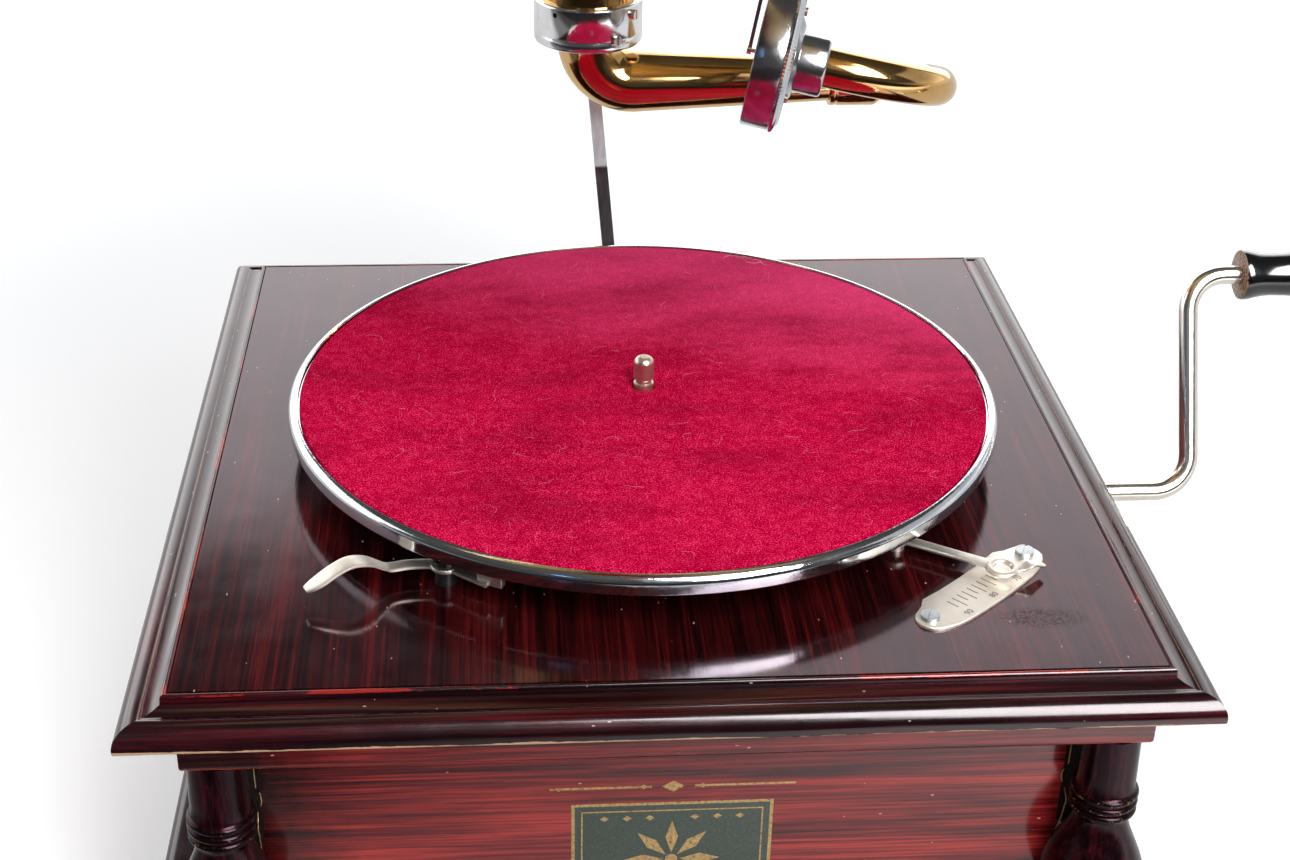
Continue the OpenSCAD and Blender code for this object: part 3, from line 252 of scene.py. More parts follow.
def corner_shade_filler():
    """Old glue and lacquer packed into a corner, black-brown as painted shade of that corner; crazed, with
    hardly any gloss.
    """
    finish, tree, spot = new_finish("corner_filler_painted_shade")
    crumbs = add(tree, "TexNoise", Vector=spot, Scale=620.0, Detail=4.0, Roughness=0.7)
    # near-black browns: painted shade of the corner
    colour = add(tree, "ValToRGB", crumbs, stops=[(0.40, "#070304"), (0.58, "#160a0b"), (0.72, "#2c1714")])
    bump = add(tree, "Bump", Strength=0.4, Distance=0.0005, Height=crumbs)
    shader = add(tree, "BsdfPrincipled", Base_Color=colour, Roughness=0.62, Specular_IOR_Level=0.12,
                 Normal=bump)
    add(tree, "OutputMaterial", shader)
    return finish


def plated(name, base, tint, rough=0.05, haze=0.10, ripple=0.05, specks=0.0):
    """Electroplated metal: even colour, faint haze where it was wiped, wipe marks and, if asked, pits.
    rough and haze: the least roughness and what the haze adds. specks: pits per metre."""
    finish, tree, spot = new_finish(name)
    cloud = add(tree, "TexNoise", Vector=spot, Scale=55.0, Detail=5.0, Roughness=0.65)
    colour = add(tree, "MixRGB", add(tree, "MapRange", cloud, 0.40, 0.68, 0.0, 1.0), base, tint)
    if specks:
        pit = add(tree, "TexVoronoi", Vector=spot, Scale=specks)
        colour = add(tree, "MixRGB", add(tree, "Math", pit, 0.10, operation="LESS_THAN"), colour, "#3a3431")
    dull = add(tree, "MapRange", cloud, 0.35, 0.75, rough, rough + haze)
    fine = add(tree, "TexNoise", Vector=spot, Scale=300.0, Detail=3.0)
    bump = add(tree, "Bump", Strength=ripple, Distance=0.0004, Height=fine)
    shader = add(tree, "BsdfPrincipled", Base_Color=colour, Metallic=1.0, Roughness=dull, Normal=bump)
    add(tree, "OutputMaterial", shader)
    return finish


def polished_brass(name, rough, colours=("#d9b47c", "#cda468", "#b08a58")):
    """Spun and polished brass under thin lacquer: deep gold with browner tarnish in clouds."""
    finish, tree, spot = new_finish(name)
    bright, gold_tone, tarnish = colours
    cloud = add(tree, "TexNoise", Vector=spot, Scale=38.0, Detail=5.0, Roughness=0.62)
    colour = add(tree, "ValToRGB", cloud, stops=[(0.34, bright), (0.52, gold_tone), (0.70, tarnish)])
    dull = add(tree, "MapRange", cloud, 0.35, 0.75, rough, rough + 0.09)
    fine = add(tree, "TexNoise", Vector=spot, Scale=120.0, Detail=3.0)
    bump = add(tree, "Bump", Strength=0.05, Distance=0.0005, Height=fine)
    shader = add(tree, "BsdfPrincipled", Base_Color=colour, Metallic=1.0, Roughness=dull, Normal=bump)
    add(tree, "OutputMaterial", shader)
    return finish


def wool_felt():
    """Crimson pressed wool felt: tangled fibres seen as speckle about 0.5 mm across, brushed in patches, no
    weave. It grows paler pink towards the back and the right, a painted sheen where the light grazes it,
    broken by the brushed patches."""
    finish, tree, spot = new_finish("crimson_wool_felt")
    speck = add(tree, "TexNoise", Vector=spot, Scale=1900.0, Detail=2.0, Roughness=0.8)
    tuft = add(tree, "TexNoise", Vector=spot, Scale=330.0, Detail=4.0, Roughness=0.75)
    patch = add(tree, "TexNoise", Vector=add(tree, "Mapping", Vector=spot, Scale=(1.0, 2.2, 1.0)), Scale=15.0,
                Detail=5.0, Roughness=0.6)
    pile = add(tree, "Math", add(tree, "Math", speck, 0.78, operation="MULTIPLY"),
               add(tree, "Math", tuft, 0.22, operation="MULTIPLY"), operation="ADD")
    wool = add(tree, "ValToRGB", pile,
               stops=[(0.38, "#78001f"), (0.46, "#ba0033"), (0.54, "#e10049"), (0.63, "#ff5a8e")])
    brushed = add(tree, "ValToRGB", patch, stops=[(0.36, "#d6ccd1"), (0.50, "#f4f1f2"), (0.64, "#ffffff")])
    colour = add(tree, "MixRGB", 1.0, wool, brushed, blend_type="MULTIPLY")
    lie = add(tree, "SeparateXYZ", spot).node.outputs
    # painted sheen: paler pink towards the back and the right, broken by the brushed patches
    sheen_and_nap = add(tree, "Math", lie["Y"], add(tree, "Math", patch, 0.16, operation="MULTIPLY"), operation="ADD")
    sheen_and_nap = add(tree, "Math", sheen_and_nap, add(tree, "Math", lie["X"], 0.40, operation="MULTIPLY"), operation="ADD")
    raised = add(tree, "MapRange", sheen_and_nap, 0.095, 0.215, 0.0, 0.44)
    colour = add(tree, "MixRGB", raised, colour, "#ff5f9e")
    bump = add(tree, "Bump", Strength=0.7, Distance=0.0005, Height=pile)
    shader = add(tree, "BsdfPrincipled", Base_Color=colour, Roughness=1.0, Specular_IOR_Level=0.0,
                 Sheen_Weight=0.03, Sheen_Roughness=0.4, Sheen_Tint=paint("#ff6d9c"), Normal=bump)
    add(tree, "OutputMaterial", shader)
    return finish


def wool_lint():
    """Stray pale wool hairs lying on the felt."""
    finish, tree, spot = new_finish("pale_wool_hair")
    shade = add(tree, "TexNoise", Vector=spot, Scale=150.0)
    colour = add(tree, "ValToRGB", shade, stops=[(0.35, "#c46a86"), (0.65, "#e6bcc0")])
    shader = add(tree, "BsdfPrincipled", Base_Color=colour, Roughness=0.8, Specular_IOR_Level=0.2)
    add(tree, "OutputMaterial", shader)
    return finish


def grip_lacquer():
    """Turned wood dipped in black lacquer: deep gloss with orange-peel ripple; its ends are bare beech,
    rubbed to a ring round the rod."""
    finish, tree, spot = new_finish("black_lacquered_wood_grip")
    bare = add(tree, "VertexColor", layer_name="bare")
    rings = add(tree, "TexNoise", Vector=grain_way(tree, spot, "x", 900, 10), Scale=1.0, Detail=3.0)
    wood = add(tree, "ValToRGB", rings, stops=[(0.36, "#6e4d36"), (0.5, "#a3805f"), (0.66, "#c09a76")])
    chips = add(tree, "TexNoise", Vector=spot, Scale=700.0, Detail=3.0)
    edge = add(tree, "Math",
               add(tree, "Math", bare, add(tree, "Math", chips, 0.3, operation="MULTIPLY"), operation="ADD"),
               0.62, operation="GREATER_THAN")
    colour = add(tree, "MixRGB", edge, "#0b0b0d", wood)
    gloss = add(tree, "MapRange", edge, 0.0, 1.0, 0.16, 0.62)
    peel = add(tree, "TexNoise", Vector=spot, Scale=140.0, Detail=1.0)
    bump = add(tree, "Bump", Strength=0.25, Distance=0.0006, Height=peel)
    shader = add(tree, "BsdfPrincipled", Base_Color=colour, Roughness=gloss, IOR=1.5, Coat_Weight=0.6,
                 Coat_Roughness=0.06, Normal=bump)
    add(tree, "OutputMaterial", shader)
    return finish


def plain_pine():
    """Sawn pine, unfinished: straw bands 4 mm apart along the board with a woolly sawn surface."""
    finish, tree, spot = new_finish("sawn_pine")
    bands = add(tree, "TexNoise", Vector=grain_way(tree, spot, "x", 240, 26), Scale=1.0, Detail=4.0,
                Roughness=0.6)
    fuzz = add(tree, "TexNoise", Vector=spot, Scale=900.0, Detail=2.0)
    colour = add(tree, "ValToRGB", bands, stops=[(0.34, "#8a6238"), (0.5, "#b98f5c"), (0.66, "#d0ab78")])
    bump = add(tree, "Bump", Strength=0.3, Distance=0.0005, Height=fuzz)
    shader = add(tree, "BsdfPrincipled", Base_Color=colour, Roughness=0.75, IOR=1.5, Normal=bump)
    add(tree, "OutputMaterial", shader)
    return finish


def machined_steel():
    """Turned and filed mild steel with an oil film: grey, with tool marks and faint brown stains."""
    finish, tree, spot = new_finish("machined_steel")
    stain = add(tree, "TexNoise", Vector=spot, Scale=70.0, Detail=5.0, Roughness=0.65)
    marks = add(tree, "TexNoise", Vector=grain_way(tree, spot, "z", 1400, 0.08), Scale=1.0, Detail=2.0)
    colour = add(tree, "ValToRGB", stain, stops=[(0.35, "#8f9194"), (0.55, "#7c7d80"), (0.72, "#6a6159")])
    bump = add(tree, "Bump", Strength=0.12, Distance=0.0003, Height=marks)
    dull = add(tree, "MapRange", stain, 0.3, 0.8, 0.24, 0.46)
    shader = add(tree, "BsdfPrincipled", Base_Color=colour, Metallic=1.0, Roughness=dull, Normal=bump)
    add(tree, "OutputMaterial", shader)
    return finish


def bar_with_painted_reflection():
    """Flat steel bar, plated above its bend, drawn as matt paint rather than bare metal: pale blue-white
    above the bend and dark grey below it, painted reflections of the bright room above and of the dark felt
    and board below."""
    finish, tree, spot = new_finish("plated_bar_painted_reflection")
    height = add(tree, "SeparateXYZ", spot).node.outputs["Z"]
    cloud = add(tree, "TexNoise", Vector=grain_way(tree, spot, "z", 420, 5), Scale=1.0, Detail=4.0,
                Roughness=0.65)
    upper = add(tree, "MapRange", height, (TOP + 36.4) * MM, (TOP + 37.6) * MM, 0.0, 1.0)
    # painted reflections: dark grey below the bend, pale blue-white above it
    dark = add(tree, "ValToRGB", cloud, stops=[(0.36, "#4a4346"), (0.56, "#5c5457"), (0.70, "#736a6a")])
    bright = add(tree, "ValToRGB", cloud, stops=[(0.36, "#dce8ee"), (0.56, "#eef5f8"), (0.70, "#f8fbfc")])
    dull = add(tree, "MapRange", cloud, 0.3, 0.8, 0.34, 0.55)
    colour = add(tree, "MixRGB", upper, dark, bright)
    shader = add(tree, "BsdfPrincipled", Base_Color=colour, Metallic=0.0, Roughness=dull)
    add(tree, "OutputMaterial", shader)
    return finish


def japanned_iron():
    """Cast iron stoved with black japan: sand-cast pebbling about 1 mm under a satin black."""
    finish, tree, spot = new_finish("japanned_cast_iron")
    sand = add(tree, "TexNoise", Vector=spot, Scale=700.0, Detail=3.0, Roughness=0.6)
    colour = add(tree, "ValToRGB", sand, stops=[(0.4, "#131416"), (0.62, "#26272a")])
    bump = add(tree, "Bump", Strength=0.35, Distance=0.0004, Height=sand)
    shader = add(tree, "BsdfPrincipled", Base_Color=colour, Roughness=0.38, IOR=1.5, Normal=bump)
    add(tree, "OutputMaterial", shader)
    return finish


def split_mica():
    """Thin split mica: clear with a smoky straw tint and cloudy layers."""
    finish, tree, spot = new_finish("split_mica")
    layers = add(tree, "TexNoise", Vector=spot, Scale=120.0, Detail=5.0, Roughness=0.6)
    colour = add(tree, "ValToRGB", layers, stops=[(0.36, "#cdbf9a"), (0.64, "#ece5cf")])
    dull = add(tree, "MapRange", layers, 0.3, 0.7, 0.08, 0.22)
    shader = add(tree, "BsdfPrincipled", Base_Color=colour, Roughness=dull, IOR=1.58,
                 Transmission_Weight=0.55)
    add(tree, "OutputMaterial", shader)
    return finish


def gasket_rubber():
    """Moulded black rubber gasket, matt with a grey bloom."""
    finish, tree, spot = new_finish("moulded_rubber")
    bloom = add(tree, "TexNoise", Vector=spot, Scale=300.0, Detail=4.0)
    colour = add(tree, "ValToRGB", bloom, stops=[(0.4, "#151414"), (0.65, "#2c2a2a")])
    bump = add(tree, "Bump", Strength=0.2, Distance=0.0002, Height=bloom)
    shader = add(tree, "BsdfPrincipled", Base_Color=colour, Roughness=0.72, IOR=1.5, Normal=bump)
    add(tree, "OutputMaterial", shader)
    return finish


def old_gold():
    """Gold bronze paint or transfer gold on lacquer, broken by wear."""
    finish, tree, spot = new_finish("gold_transfer")
    worn = add(tree, "TexNoise", Vector=spot, Scale=900.0, Detail=3.0, Roughness=0.7)
    colour = add(tree, "ValToRGB", worn, stops=[(0.34, "#4d1f17"), (0.42, "#a5834c"), (0.62, "#c9a765")])
    shader = add(tree, "BsdfPrincipled", Base_Color=colour, Roughness=0.35, Metallic=0.35, IOR=1.5,
                 Coat_Weight=0.6, Coat_Roughness=0.08)
    add(tree, "OutputMaterial", shader)
    return finish


def stamped_mark():
    """Stamped line filled with black-brown enamel, dulled by polishing."""
    finish, tree, spot = new_finish("black_brown_fill_in_stamped_mark")
    wear = add(tree, "TexNoise", Vector=spot, Scale=1500.0, Detail=2.0)
    colour = add(tree, "ValToRGB", wear, stops=[(0.42, "#2e2723"), (0.62, "#6a5d53")])
    shader = add(tree, "BsdfPrincipled", Base_Color=colour, Roughness=0.55, IOR=1.5)
    add(tree, "OutputMaterial", shader)
    return finish


def green_transfer():
    """Dark green printed transfer under the case's lacquer, with the dots of its old printing."""
    finish, tree, spot = new_finish("dark_green_transfer")
    mottle = add(tree, "TexNoise", Vector=spot, Scale=1100.0, Detail=3.0, Roughness=0.7)
    colour = add(tree, "ValToRGB", mottle, stops=[(0.36, "#0c1a10"), (0.55, "#16301d"), (0.70, "#3a4a24")])
    shader = add(tree, "BsdfPrincipled", Base_Color=colour, Roughness=0.3, IOR=1.5, Coat_Weight=1.0,
                 Coat_Roughness=0.06)
    add(tree, "OutputMaterial", shader)
    return finish


MOULDING_LOOK = dict(worn_under=(BOARD_UNDER, 3.0, "#c19a78"), gloss=0.13, glint="#fff8fb",
                     colours=MOULDING_COLOURS)
# the panels blacken at their low ends beside the corner columns: painted shade
PANEL_LOOK = dict(worn_under=(FRIEZE_UNDER, 1.9, "#c8381a"), end_shade=(98, 130), colours=PANEL_COLOURS)
board_wood = lacquered_mahogany("mahogany_gloss_lacquer_board", "y", rubbed=(118.0, -124.0, 15.0, 6.0),
                                glint="#ffdfee")
length_x_wood = lacquered_mahogany("mahogany_gloss_lacquer_length_x", "x", **MOULDING_LOOK)
length_y_wood = lacquered_mahogany("mahogany_gloss_lacquer_length_y", "y", **MOULDING_LOOK)
panel_x_wood = lacquered_mahogany("mahogany_gloss_lacquer_panel_x", "x", **PANEL_LOOK)
panel_y_wood = lacquered_mahogany("mahogany_gloss_lacquer_panel_y", "y", **PANEL_LOOK)
column_lacquer = dark_column_lacquer()
corner_shade_finish = corner_shade_filler()
chrome = plated("mirror_chrome_plate", "#d8dade", "#bcc3cc", rough=0.07, haze=0.14, ripple=0.16)
collar_chrome = plated("chrome_plate_pitted", "#ececee", "#d2d2d4", rough=0.09, haze=0.14, ripple=0.10,
                       specks=95.0)
nickel = plated("polished_nickel_plate", "#efe9e1", "#dad2c8", rough=0.16, haze=0.14, ripple=0.08)
worn_nickel = plated("worn_nickel_plate", "#cdbfb2", "#978979", rough=0.30, haze=0.25, ripple=0.15)
drum_chrome = plated("chrome_plate_hazed", "#cfd0d4", "#8b8d93", rough=0.12, haze=0.20, ripple=0.18)
lever_nickel = plated("dull_nickel_plate", "#ece5dc", "#cfc5ba", rough=0.38, haze=0.18, ripple=0.14)
satin_nickel = plated("satin_nickel_plate", "#f3ece2", "#e3dace", rough=0.46, haze=0.14, ripple=0.12)
screw_steel = plated("bright_zinc_plated_screw", "#aeb1b3", "#84888c", rough=0.20, haze=0.16, ripple=0.14)
brass = polished_brass("polished_brass", 0.08)
horn_brass = polished_brass("spun_sheet_brass", 0.21, ("#c6a878", "#b69a6c", "#9e855c"))
felt_wool = wool_felt()
lint_wool = wool_lint()
grip_black = grip_lacquer()
pine = plain_pine()
steel = machined_steel()
bar_reflection_finish = bar_with_painted_reflection()
iron = japanned_iron()
mica = split_mica()
rubber = gasket_rubber()
gold = old_gold()
dark_mark = stamped_mark()
transfer_green = green_transfer()

# every CAD node that stays gets the finish of the real piece
NODE_FINISH = {
    board_wood: "top_board",
    panel_x_wood: "front_panel back_panel",
    panel_y_wood: "left_panel right_panel",
    pine: "base_board",
    nickel: "bracket_screws crank_bush motor_screws soundbox_screws needle_bar needle needle_screw",
    screw_steel: "speed_plate_screws",
    worn_nickel: "spindle",
    brass: "worm_wheel governor_weights governor_disc",
    steel: "motor_pillars platter_hub spring_barrel barrel_cover mainspring winding_arbor ratchet_pawl "
           "intermediate_arbor governor_shaft regulator_lever winding_shaft",
    iron: "motor_plate lower_plate winding_bracket governor_bearings brake_screw",
    mica: "diaphragm",
    rubber: "diaphragm_gaskets",
}
for finish, names in NODE_FINISH.items():
    for name in names.split():
        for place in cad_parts[name].material_slots:
            place.material = finish


# making pieces
def at(x, y, z):
    return Vector((x, y, z)) * MM


def keep(name, bm, finish, body, stands_for=(), sharp=40):
    """Turns a bmesh in metres into a finished piece that rides on a body."""
    bmesh.ops.recalc_face_normals(bm, faces=bm.faces)
    mesh = bpy.data.meshes.new(name)
    bm.to_mesh(mesh)
    bm.free()
    mesh.shade_smooth()
    mesh.set_sharp_from_angle(angle=radians(sharp))
    mesh.materials.append(finish)
    piece = bpy.data.objects.new(name, mesh)
    scene.collection.objects.link(piece)
    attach(piece, body)
    if stands_for:
        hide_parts(*stands_for)
    return piece


def new_points(grown):
    """The points in what an extrusion made."""
    return [v for v in grown["geom"] if isinstance(v, bmesh.types.BMVert)]


def soften(bm, edges, by, segments=2):
    """Rounds edges by a width in millimetres."""
    bmesh.ops.bevel(bm, geom=edges, offset=by * MM, segments=segments, affect="EDGES", profile=0.5,
                    material=-1)


def turned(profile, steps=96):
    """Spins (radius, height) points in millimetres round Z; a radius of 0 closes the piece."""
    bm = bmesh.new()
    chain = [bm.verts.new(at(r, 0, z)) for r, z in profile]
    for a, b in zip(chain, chain[1:]):
        bm.edges.new((a, b))
    bmesh.ops.spin(bm, geom=bm.verts[:] + bm.edges[:], cent=(0, 0, 0), axis=(0, 0, 1), angle=2 * pi,
                   steps=steps, use_merge=True)
    bmesh.ops.remove_doubles(bm, verts=bm.verts, dist=1e-6)
    return bm


def drawn(rings, closed=True):
    """Draws one loop of points through each ring in turn by extruding its edges.
    A closed piece has its last ring bridged to its first; an open one has both ends filled."""
    bm = bmesh.new()
    loop = bmesh.ops.create_circle(bm, segments=len(rings[0]), radius=1)["verts"]
    edges = bm.edges[:]
    first = edges
    for place, ring in enumerate(rings):
        if place:
            grown = bmesh.ops.extrude_edge_only(bm, edges=edges)
            fresh = set(new_points(grown))
            edges = [e for e in grown["geom"]
                     if isinstance(e, bmesh.types.BMEdge) and all(v in fresh for v in e.verts)]
            loop = [next(e.other_vert(v) for e in v.link_edges if e.other_vert(v) in fresh) for v in loop]
        for v, spot in zip(loop, ring):
            v.co = spot * MM
    if closed:
        bmesh.ops.bridge_loops(bm, edges=first + edges)
    else:
        bmesh.ops.holes_fill(bm, edges=bm.edges, sides=0)
    return bm


def circle(middle, way, r, count, up=Vector((0, 0.45, 0.9))):
    """Ring of points round middle, square to way."""
    side = way.cross(up).normalized()
    rise = way.cross(side)
    turns = [2 * pi * k / count for k in range(count)]
    return [middle + r * (cos(a) * side + sin(a) * rise) for a in turns]


def path_way(path, i):
    """Direction of a path at one of its points."""
    return (path[min(i + 1, len(path) - 1)] - path[max(i - 1, 0)]).normalized()


def swept(path, r, count, up=BACKWARD):
    """Round wire or rod along a path."""
    rings = [circle(spot, path_way(path, i), r, count, up=up) for i, spot in enumerate(path)]
    return drawn(rings, closed=False)


def arc(x, y, r, start, stop, steps):
    """Points of a round stretch between two angles in degrees."""
    turns = [radians(start + (stop - start) * i / steps) for i in range(steps + 1)]
    return [(x + r * cos(a), y + r * sin(a)) for a in turns]


def join(bm, other):
    """Adds another bmesh's pieces to this one."""
    spare = bpy.data.meshes.new("spare")
    other.to_mesh(spare)
    other.free()
    bm.from_mesh(spare)
    bpy.data.meshes.remove(spare)
    return bm


def moved(bm, matrix):
    """Sets a piece in its place."""
    bmesh.ops.transform(bm, matrix=matrix, verts=bm.verts)
    return bm


def shifted(bm, x, y, z):
    """Moves a piece by millimetres."""
    return moved(bm, Matrix.Translation(at(x, y, z)))


def crests(piece, layer, test):
    """Marks how far the finish is worn at each point, for the colour attribute that the finish reads."""
    marks = piece.data.color_attributes.new(layer, "FLOAT_COLOR", "POINT")
    for v, mark in zip(piece.data.vertices, marks.data):
        value = test(v.co / MM)
        mark.color = (value, value, value, 1.0)


# case
def moulding_lengths(half, profile, sides, cuts=48):
    """Mitred lengths with one cross section of (out, height) points: front and back, or left and right."""
    bm = bmesh.new()
    for side in sides:
        run = bmesh.new()
        section = [run.verts.new(at(-(half + out), -(half + out), z)) for out, z in profile]
        edges = [run.edges.new((a, b)) for a, b in zip(section, section[1:] + section[:1])]
        run.faces.new(section)
        fresh = set(new_points(bmesh.ops.extrude_edge_only(run, edges=edges)))
        far = [next(e.other_vert(v) for e in v.link_edges if e.other_vert(v) in fresh) for v in section]
        for v, (out, z) in zip(far, profile):
            v.co = at(half + out, -(half + out), z)
        run.faces.new(far)
        long_edges = [e for e in run.edges if (e.verts[0] in fresh) != (e.verts[1] in fresh)]
        bmesh.ops.subdivide_edges(run, edges=long_edges, cuts=cuts)
        moved(run, Matrix.Rotation(side * pi / 2, 4, "Z"))
        join(bm, run)
    return bm


def wander(bm, amount, size, only):
    """Moves the points that only picks a little, so that edges aren't ruled straight; in millimetres."""
    for v in bm.verts:
        if only(v.co / MM):
            v.co += noise.noise_vector(v.co / (size * MM)) * amount * MM
    return bm


def outer_nose(spot):
    """True on the top moulding's lower nose, which wear has made uneven."""
    return spot.z < BOARD_UNDER + 4 and max(abs(spot.x), abs(spot.y)) > 160


top_profile = ([(0.02, BOARD_UNDER), (14.2, BOARD_UNDER), (14.8, 166.5), (15.0, 167.2)]
               + arc(9.0, 168.2, 6.0, 4, 100, 12) + arc(7.0, 183.4, 9.6, 274, 240, 5) + [(2.1, 176.3)]
               + arc(1.15, 177.1, 0.9, 20, 165, 6) + [(0.02, TOP - 1)])
frieze_profile = ([(0.02, FRIEZE_UNDER), (17.0, FRIEZE_UNDER)] + arc(17.3, 149.2, 2.2, -90, 0, 6)
                  + [(19.5, BOARD_UNDER - 0.02), (0.02, BOARD_UNDER - 0.02)])
plinth_profile = ([(0.0, 0.0), (47.5, 0.0), (49.0, 1.5)] + arc(44.0, 27.0, 5.0, 0, 90, 8)
                  + [(37.0, 32.0)] + arc(37.0, 45.0, 10.0, 270, 180, 10) + [(27.0, 46.0), (27.0, 47.0)]
                  + arc(23.5, 49.5, 2.5, -60, 90, 8) + [(0.0, PLINTH_TOP)])
MOULDINGS = (("top_moulding", BOARD_HALF, top_profile, (length_x_wood, length_y_wood)),
             ("frieze_frame", PANEL_HALF, frieze_profile, (panel_x_wood, panel_y_wood)),
             ("plinth_moulding", PANEL_HALF, plinth_profile, (length_x_wood, length_y_wood)))
for name, half, profile, woods in MOULDINGS:
    for ways, wood, sides in zip(("front_and_back", "left_and_right"), woods, ((0, 2), (1, 3))):
        lengths = moulding_lengths(half, profile, sides)
        if name == "top_moulding":
            wander(lengths, 0.22, 34, outer_nose)
        keep(name + "_" + ways, lengths, wood, "case", stands_for=[name], sharp=50)


COLUMN_LOW, COLUMN_HIGH = PLINTH_TOP + 0.05, FRIEZE_UNDER - 0.05
BALUSTER = [(8.0, 61.0), (8.3, 64.0), (9.2, 67.4), (10.7, 70.4), (12.4, 73.6), (13.9, 76.8), (15.2, 80.2),
            (16.1, 83.8), (16.55, 87.4), (16.5, 90.6), (15.9, 93.8), (14.8, 97.0), (13.4, 100.2),
            (11.9, 103.6), (10.4, 107.0), (9.2, 110.4), (8.7, 112.6), (8.5, 114.6)]
COLUMN = ([(0.0, COLUMN_LOW), (13.5, COLUMN_LOW)] + arc(12.0, 53.7, 1.7, -60, 90, 6) + [(10.5, 56.0)]
          + arc(10.2, 58.0, 1.6, -80, 80, 6) + BALUSTER + arc(9.5, 117.0, 1.35, -80, 80, 7)
          + arc(9.55, 120.2, 1.35, -80, 80, 7) + arc(9.5, 123.4, 1.35, -80, 80, 7)
          + [(9.35, 125.6), (9.3, 130.0), (9.1, 137.0), (8.8, COLUMN_HIGH), (0.0, COLUMN_HIGH)])
RINGS_LOW, RINGS_HIGH, RING_CREST = 114.8, 125.4, 10.5
for end, y in (("front", -COLUMN_AT), ("back", COLUMN_AT)):
    for hand, x in (("left", -COLUMN_AT), ("right", COLUMN_AT)):
        name = f"column_{end}_{hand}"
        post = shifted(turned(COLUMN, 48), x, y, 0)
        piece = keep("turned_" + name, post, column_lacquer, "case", [name], sharp=60)

        def on_ring_crest(spot, x=x, y=y):
            return float(RINGS_LOW < spot.z < RINGS_HIGH and hypot(spot.x - x, spot.y - y) > RING_CREST)

        crests(piece, "crest", on_ring_crest)


# the bracket: a foot plate and the cranked strap that carries the collar
STRAP = [(132, 70), (132, 118), (168, 136), (171, 150), (171, TOP + 34), (170, TOP + 38), (171, TOP + 41),
         (171.95, 282), (171.95, 295), (180, 294), (184, TOP + 40), (183, 140), (170, 112)]
STRAP_WIDE, LEAN_FROM, LEAN_TO = 5.4, 143.0, 288.0
strap = bmesh.new()
face = strap.faces.new([strap.verts.new(at(-STRAP_WIDE / 2, y, z - LEAN_FROM)) for y, z in STRAP])
grown = bmesh.ops.extrude_face_region(strap, geom=[face])
bmesh.ops.translate(strap, verts=new_points(grown), vec=at(STRAP_WIDE, 0, 0))
soften(strap, strap.edges[:], 0.35)
lean = Matrix.Rotation(atan2(SWIVEL.x, LEAN_TO - LEAN_FROM), 4, "Y")
moved(strap, Matrix.Translation(at(0, 0, LEAN_FROM)) @ lean)
foot = bmesh.new()
foot_place = Matrix.Translation(at(0, PANEL_HALF + 1.5, 93))
bmesh.ops.create_cube(foot, size=1, matrix=foot_place @ Matrix.Diagonal((0.048, 0.003, 0.062, 1)))
soften(foot, foot.edges[:], 0.5)
keep("back_bracket_strap", join(strap, foot), bar_reflection_finish, "case", stands_for=["back_bracket"])

# fillet of glue and lacquer that fills the corner between the case and each column, near black as painted
# shade of that corner
FILLET = ((146.9, 8.8), (141, 9.0), (135, 9.3), (130, 9.6), (127, 9.9), (124, 10.2), (120, 10.3), (116, 10.0),
          (113, 9.5), (110.4, 9.6), (107.0, 10.4), (105.3, 11.1), (103.6, 11.9), (101.4, 12.8))
for k, (x, y) in enumerate(CORNERS):
    rings = []
    for z, r in FILLET:
        out = COLUMN_AT - PANEL_HALF - 0.7071 * r + 0.15
        rounded = ((out - 0.5, out - 0.1), (out, out), (out - 0.1, out - 0.5))
        section = ((-1, -1), (-1, 0.03), *rounded, (0.03, -1))
        rings.append([Vector((x * (PANEL_HALF + a), y * (PANEL_HALF + b), z)) for a, b in section])
    keep(f"corner_shade_fillet_{k + 1}", drawn(rings, closed=False), corner_shade_finish, "case", sharp=70)


# turntable
RIM_LOW, RIM_FACE, FELT_LOW, FELT_TOP = 191.6, 194.4, 196.1, 198.0
PLATTER = ([(9.0, RIM_FACE), (60.0, RIM_FACE), (124.0, RIM_FACE), (124.5, 193.2), (124.6, RIM_LOW)]
           + arc(126.0, 192.1, 1.0, -100, 0, 6) + [(127.0, 194.6)] + arc(124.2, 195.2, 2.8, 0, 82, 10)
           + [(124.2, FELT_TOP), (123.75, 197.6), (123.6, 196.2), (122.0, 196.05), (60.0, 196.05),
              (9.0, 196.05), (9.0, RIM_FACE)])
keep("turntable_plate_chromed", turned(PLATTER, 192), chrome, "turntable", ["platter"], sharp=35)

felt_edge = [(122.6, FELT_LOW), (122.9, 196.5), (123.0, 197.2), (122.7, 197.75), (122.2, 197.95)]
felt_radii = (120, 117, 113, 109, 105, 101, *range(97, 21, -5), 17, 13, 9, 6.5)
felt_profile = ([(4.1, FELT_LOW)] + felt_edge + [(r, FELT_TOP) for r in felt_radii]
                + [(4.6, 197.9), (4.1, 197.5), (4.1, FELT_LOW)])
felt = turned(felt_profile, 240)
for v in felt.verts:
    if v.co.z > (FELT_TOP - 1.2) * MM:
        lump = noise.noise(v.co / 0.045) * 0.10 + noise.noise(v.co / 0.009) * 0.07
        v.co.z += (lump - 0.12) * MM
felt_piece = keep("crimson_felt_disc", felt, felt_wool, "turntable", ["felt_mat"], sharp=60)

luck = random.Random(12)


def hair(start, length, thick, curl, height=0.06):
    """A stray hair lying on the felt: a thin tube that wanders in eight steps."""
    way = luck.uniform(0, 2 * pi)
    spot, path = Vector(start), []
    for i in range(9):
        path.append(spot.copy())
        way += luck.uniform(-curl, curl)
        spot += Vector((cos(way), sin(way), 0)) * length / 8
        spot.z = start[2] + height * luck.uniform(0.5, 2.2)
    return swept(path, thick, 4, up=UPWARD)


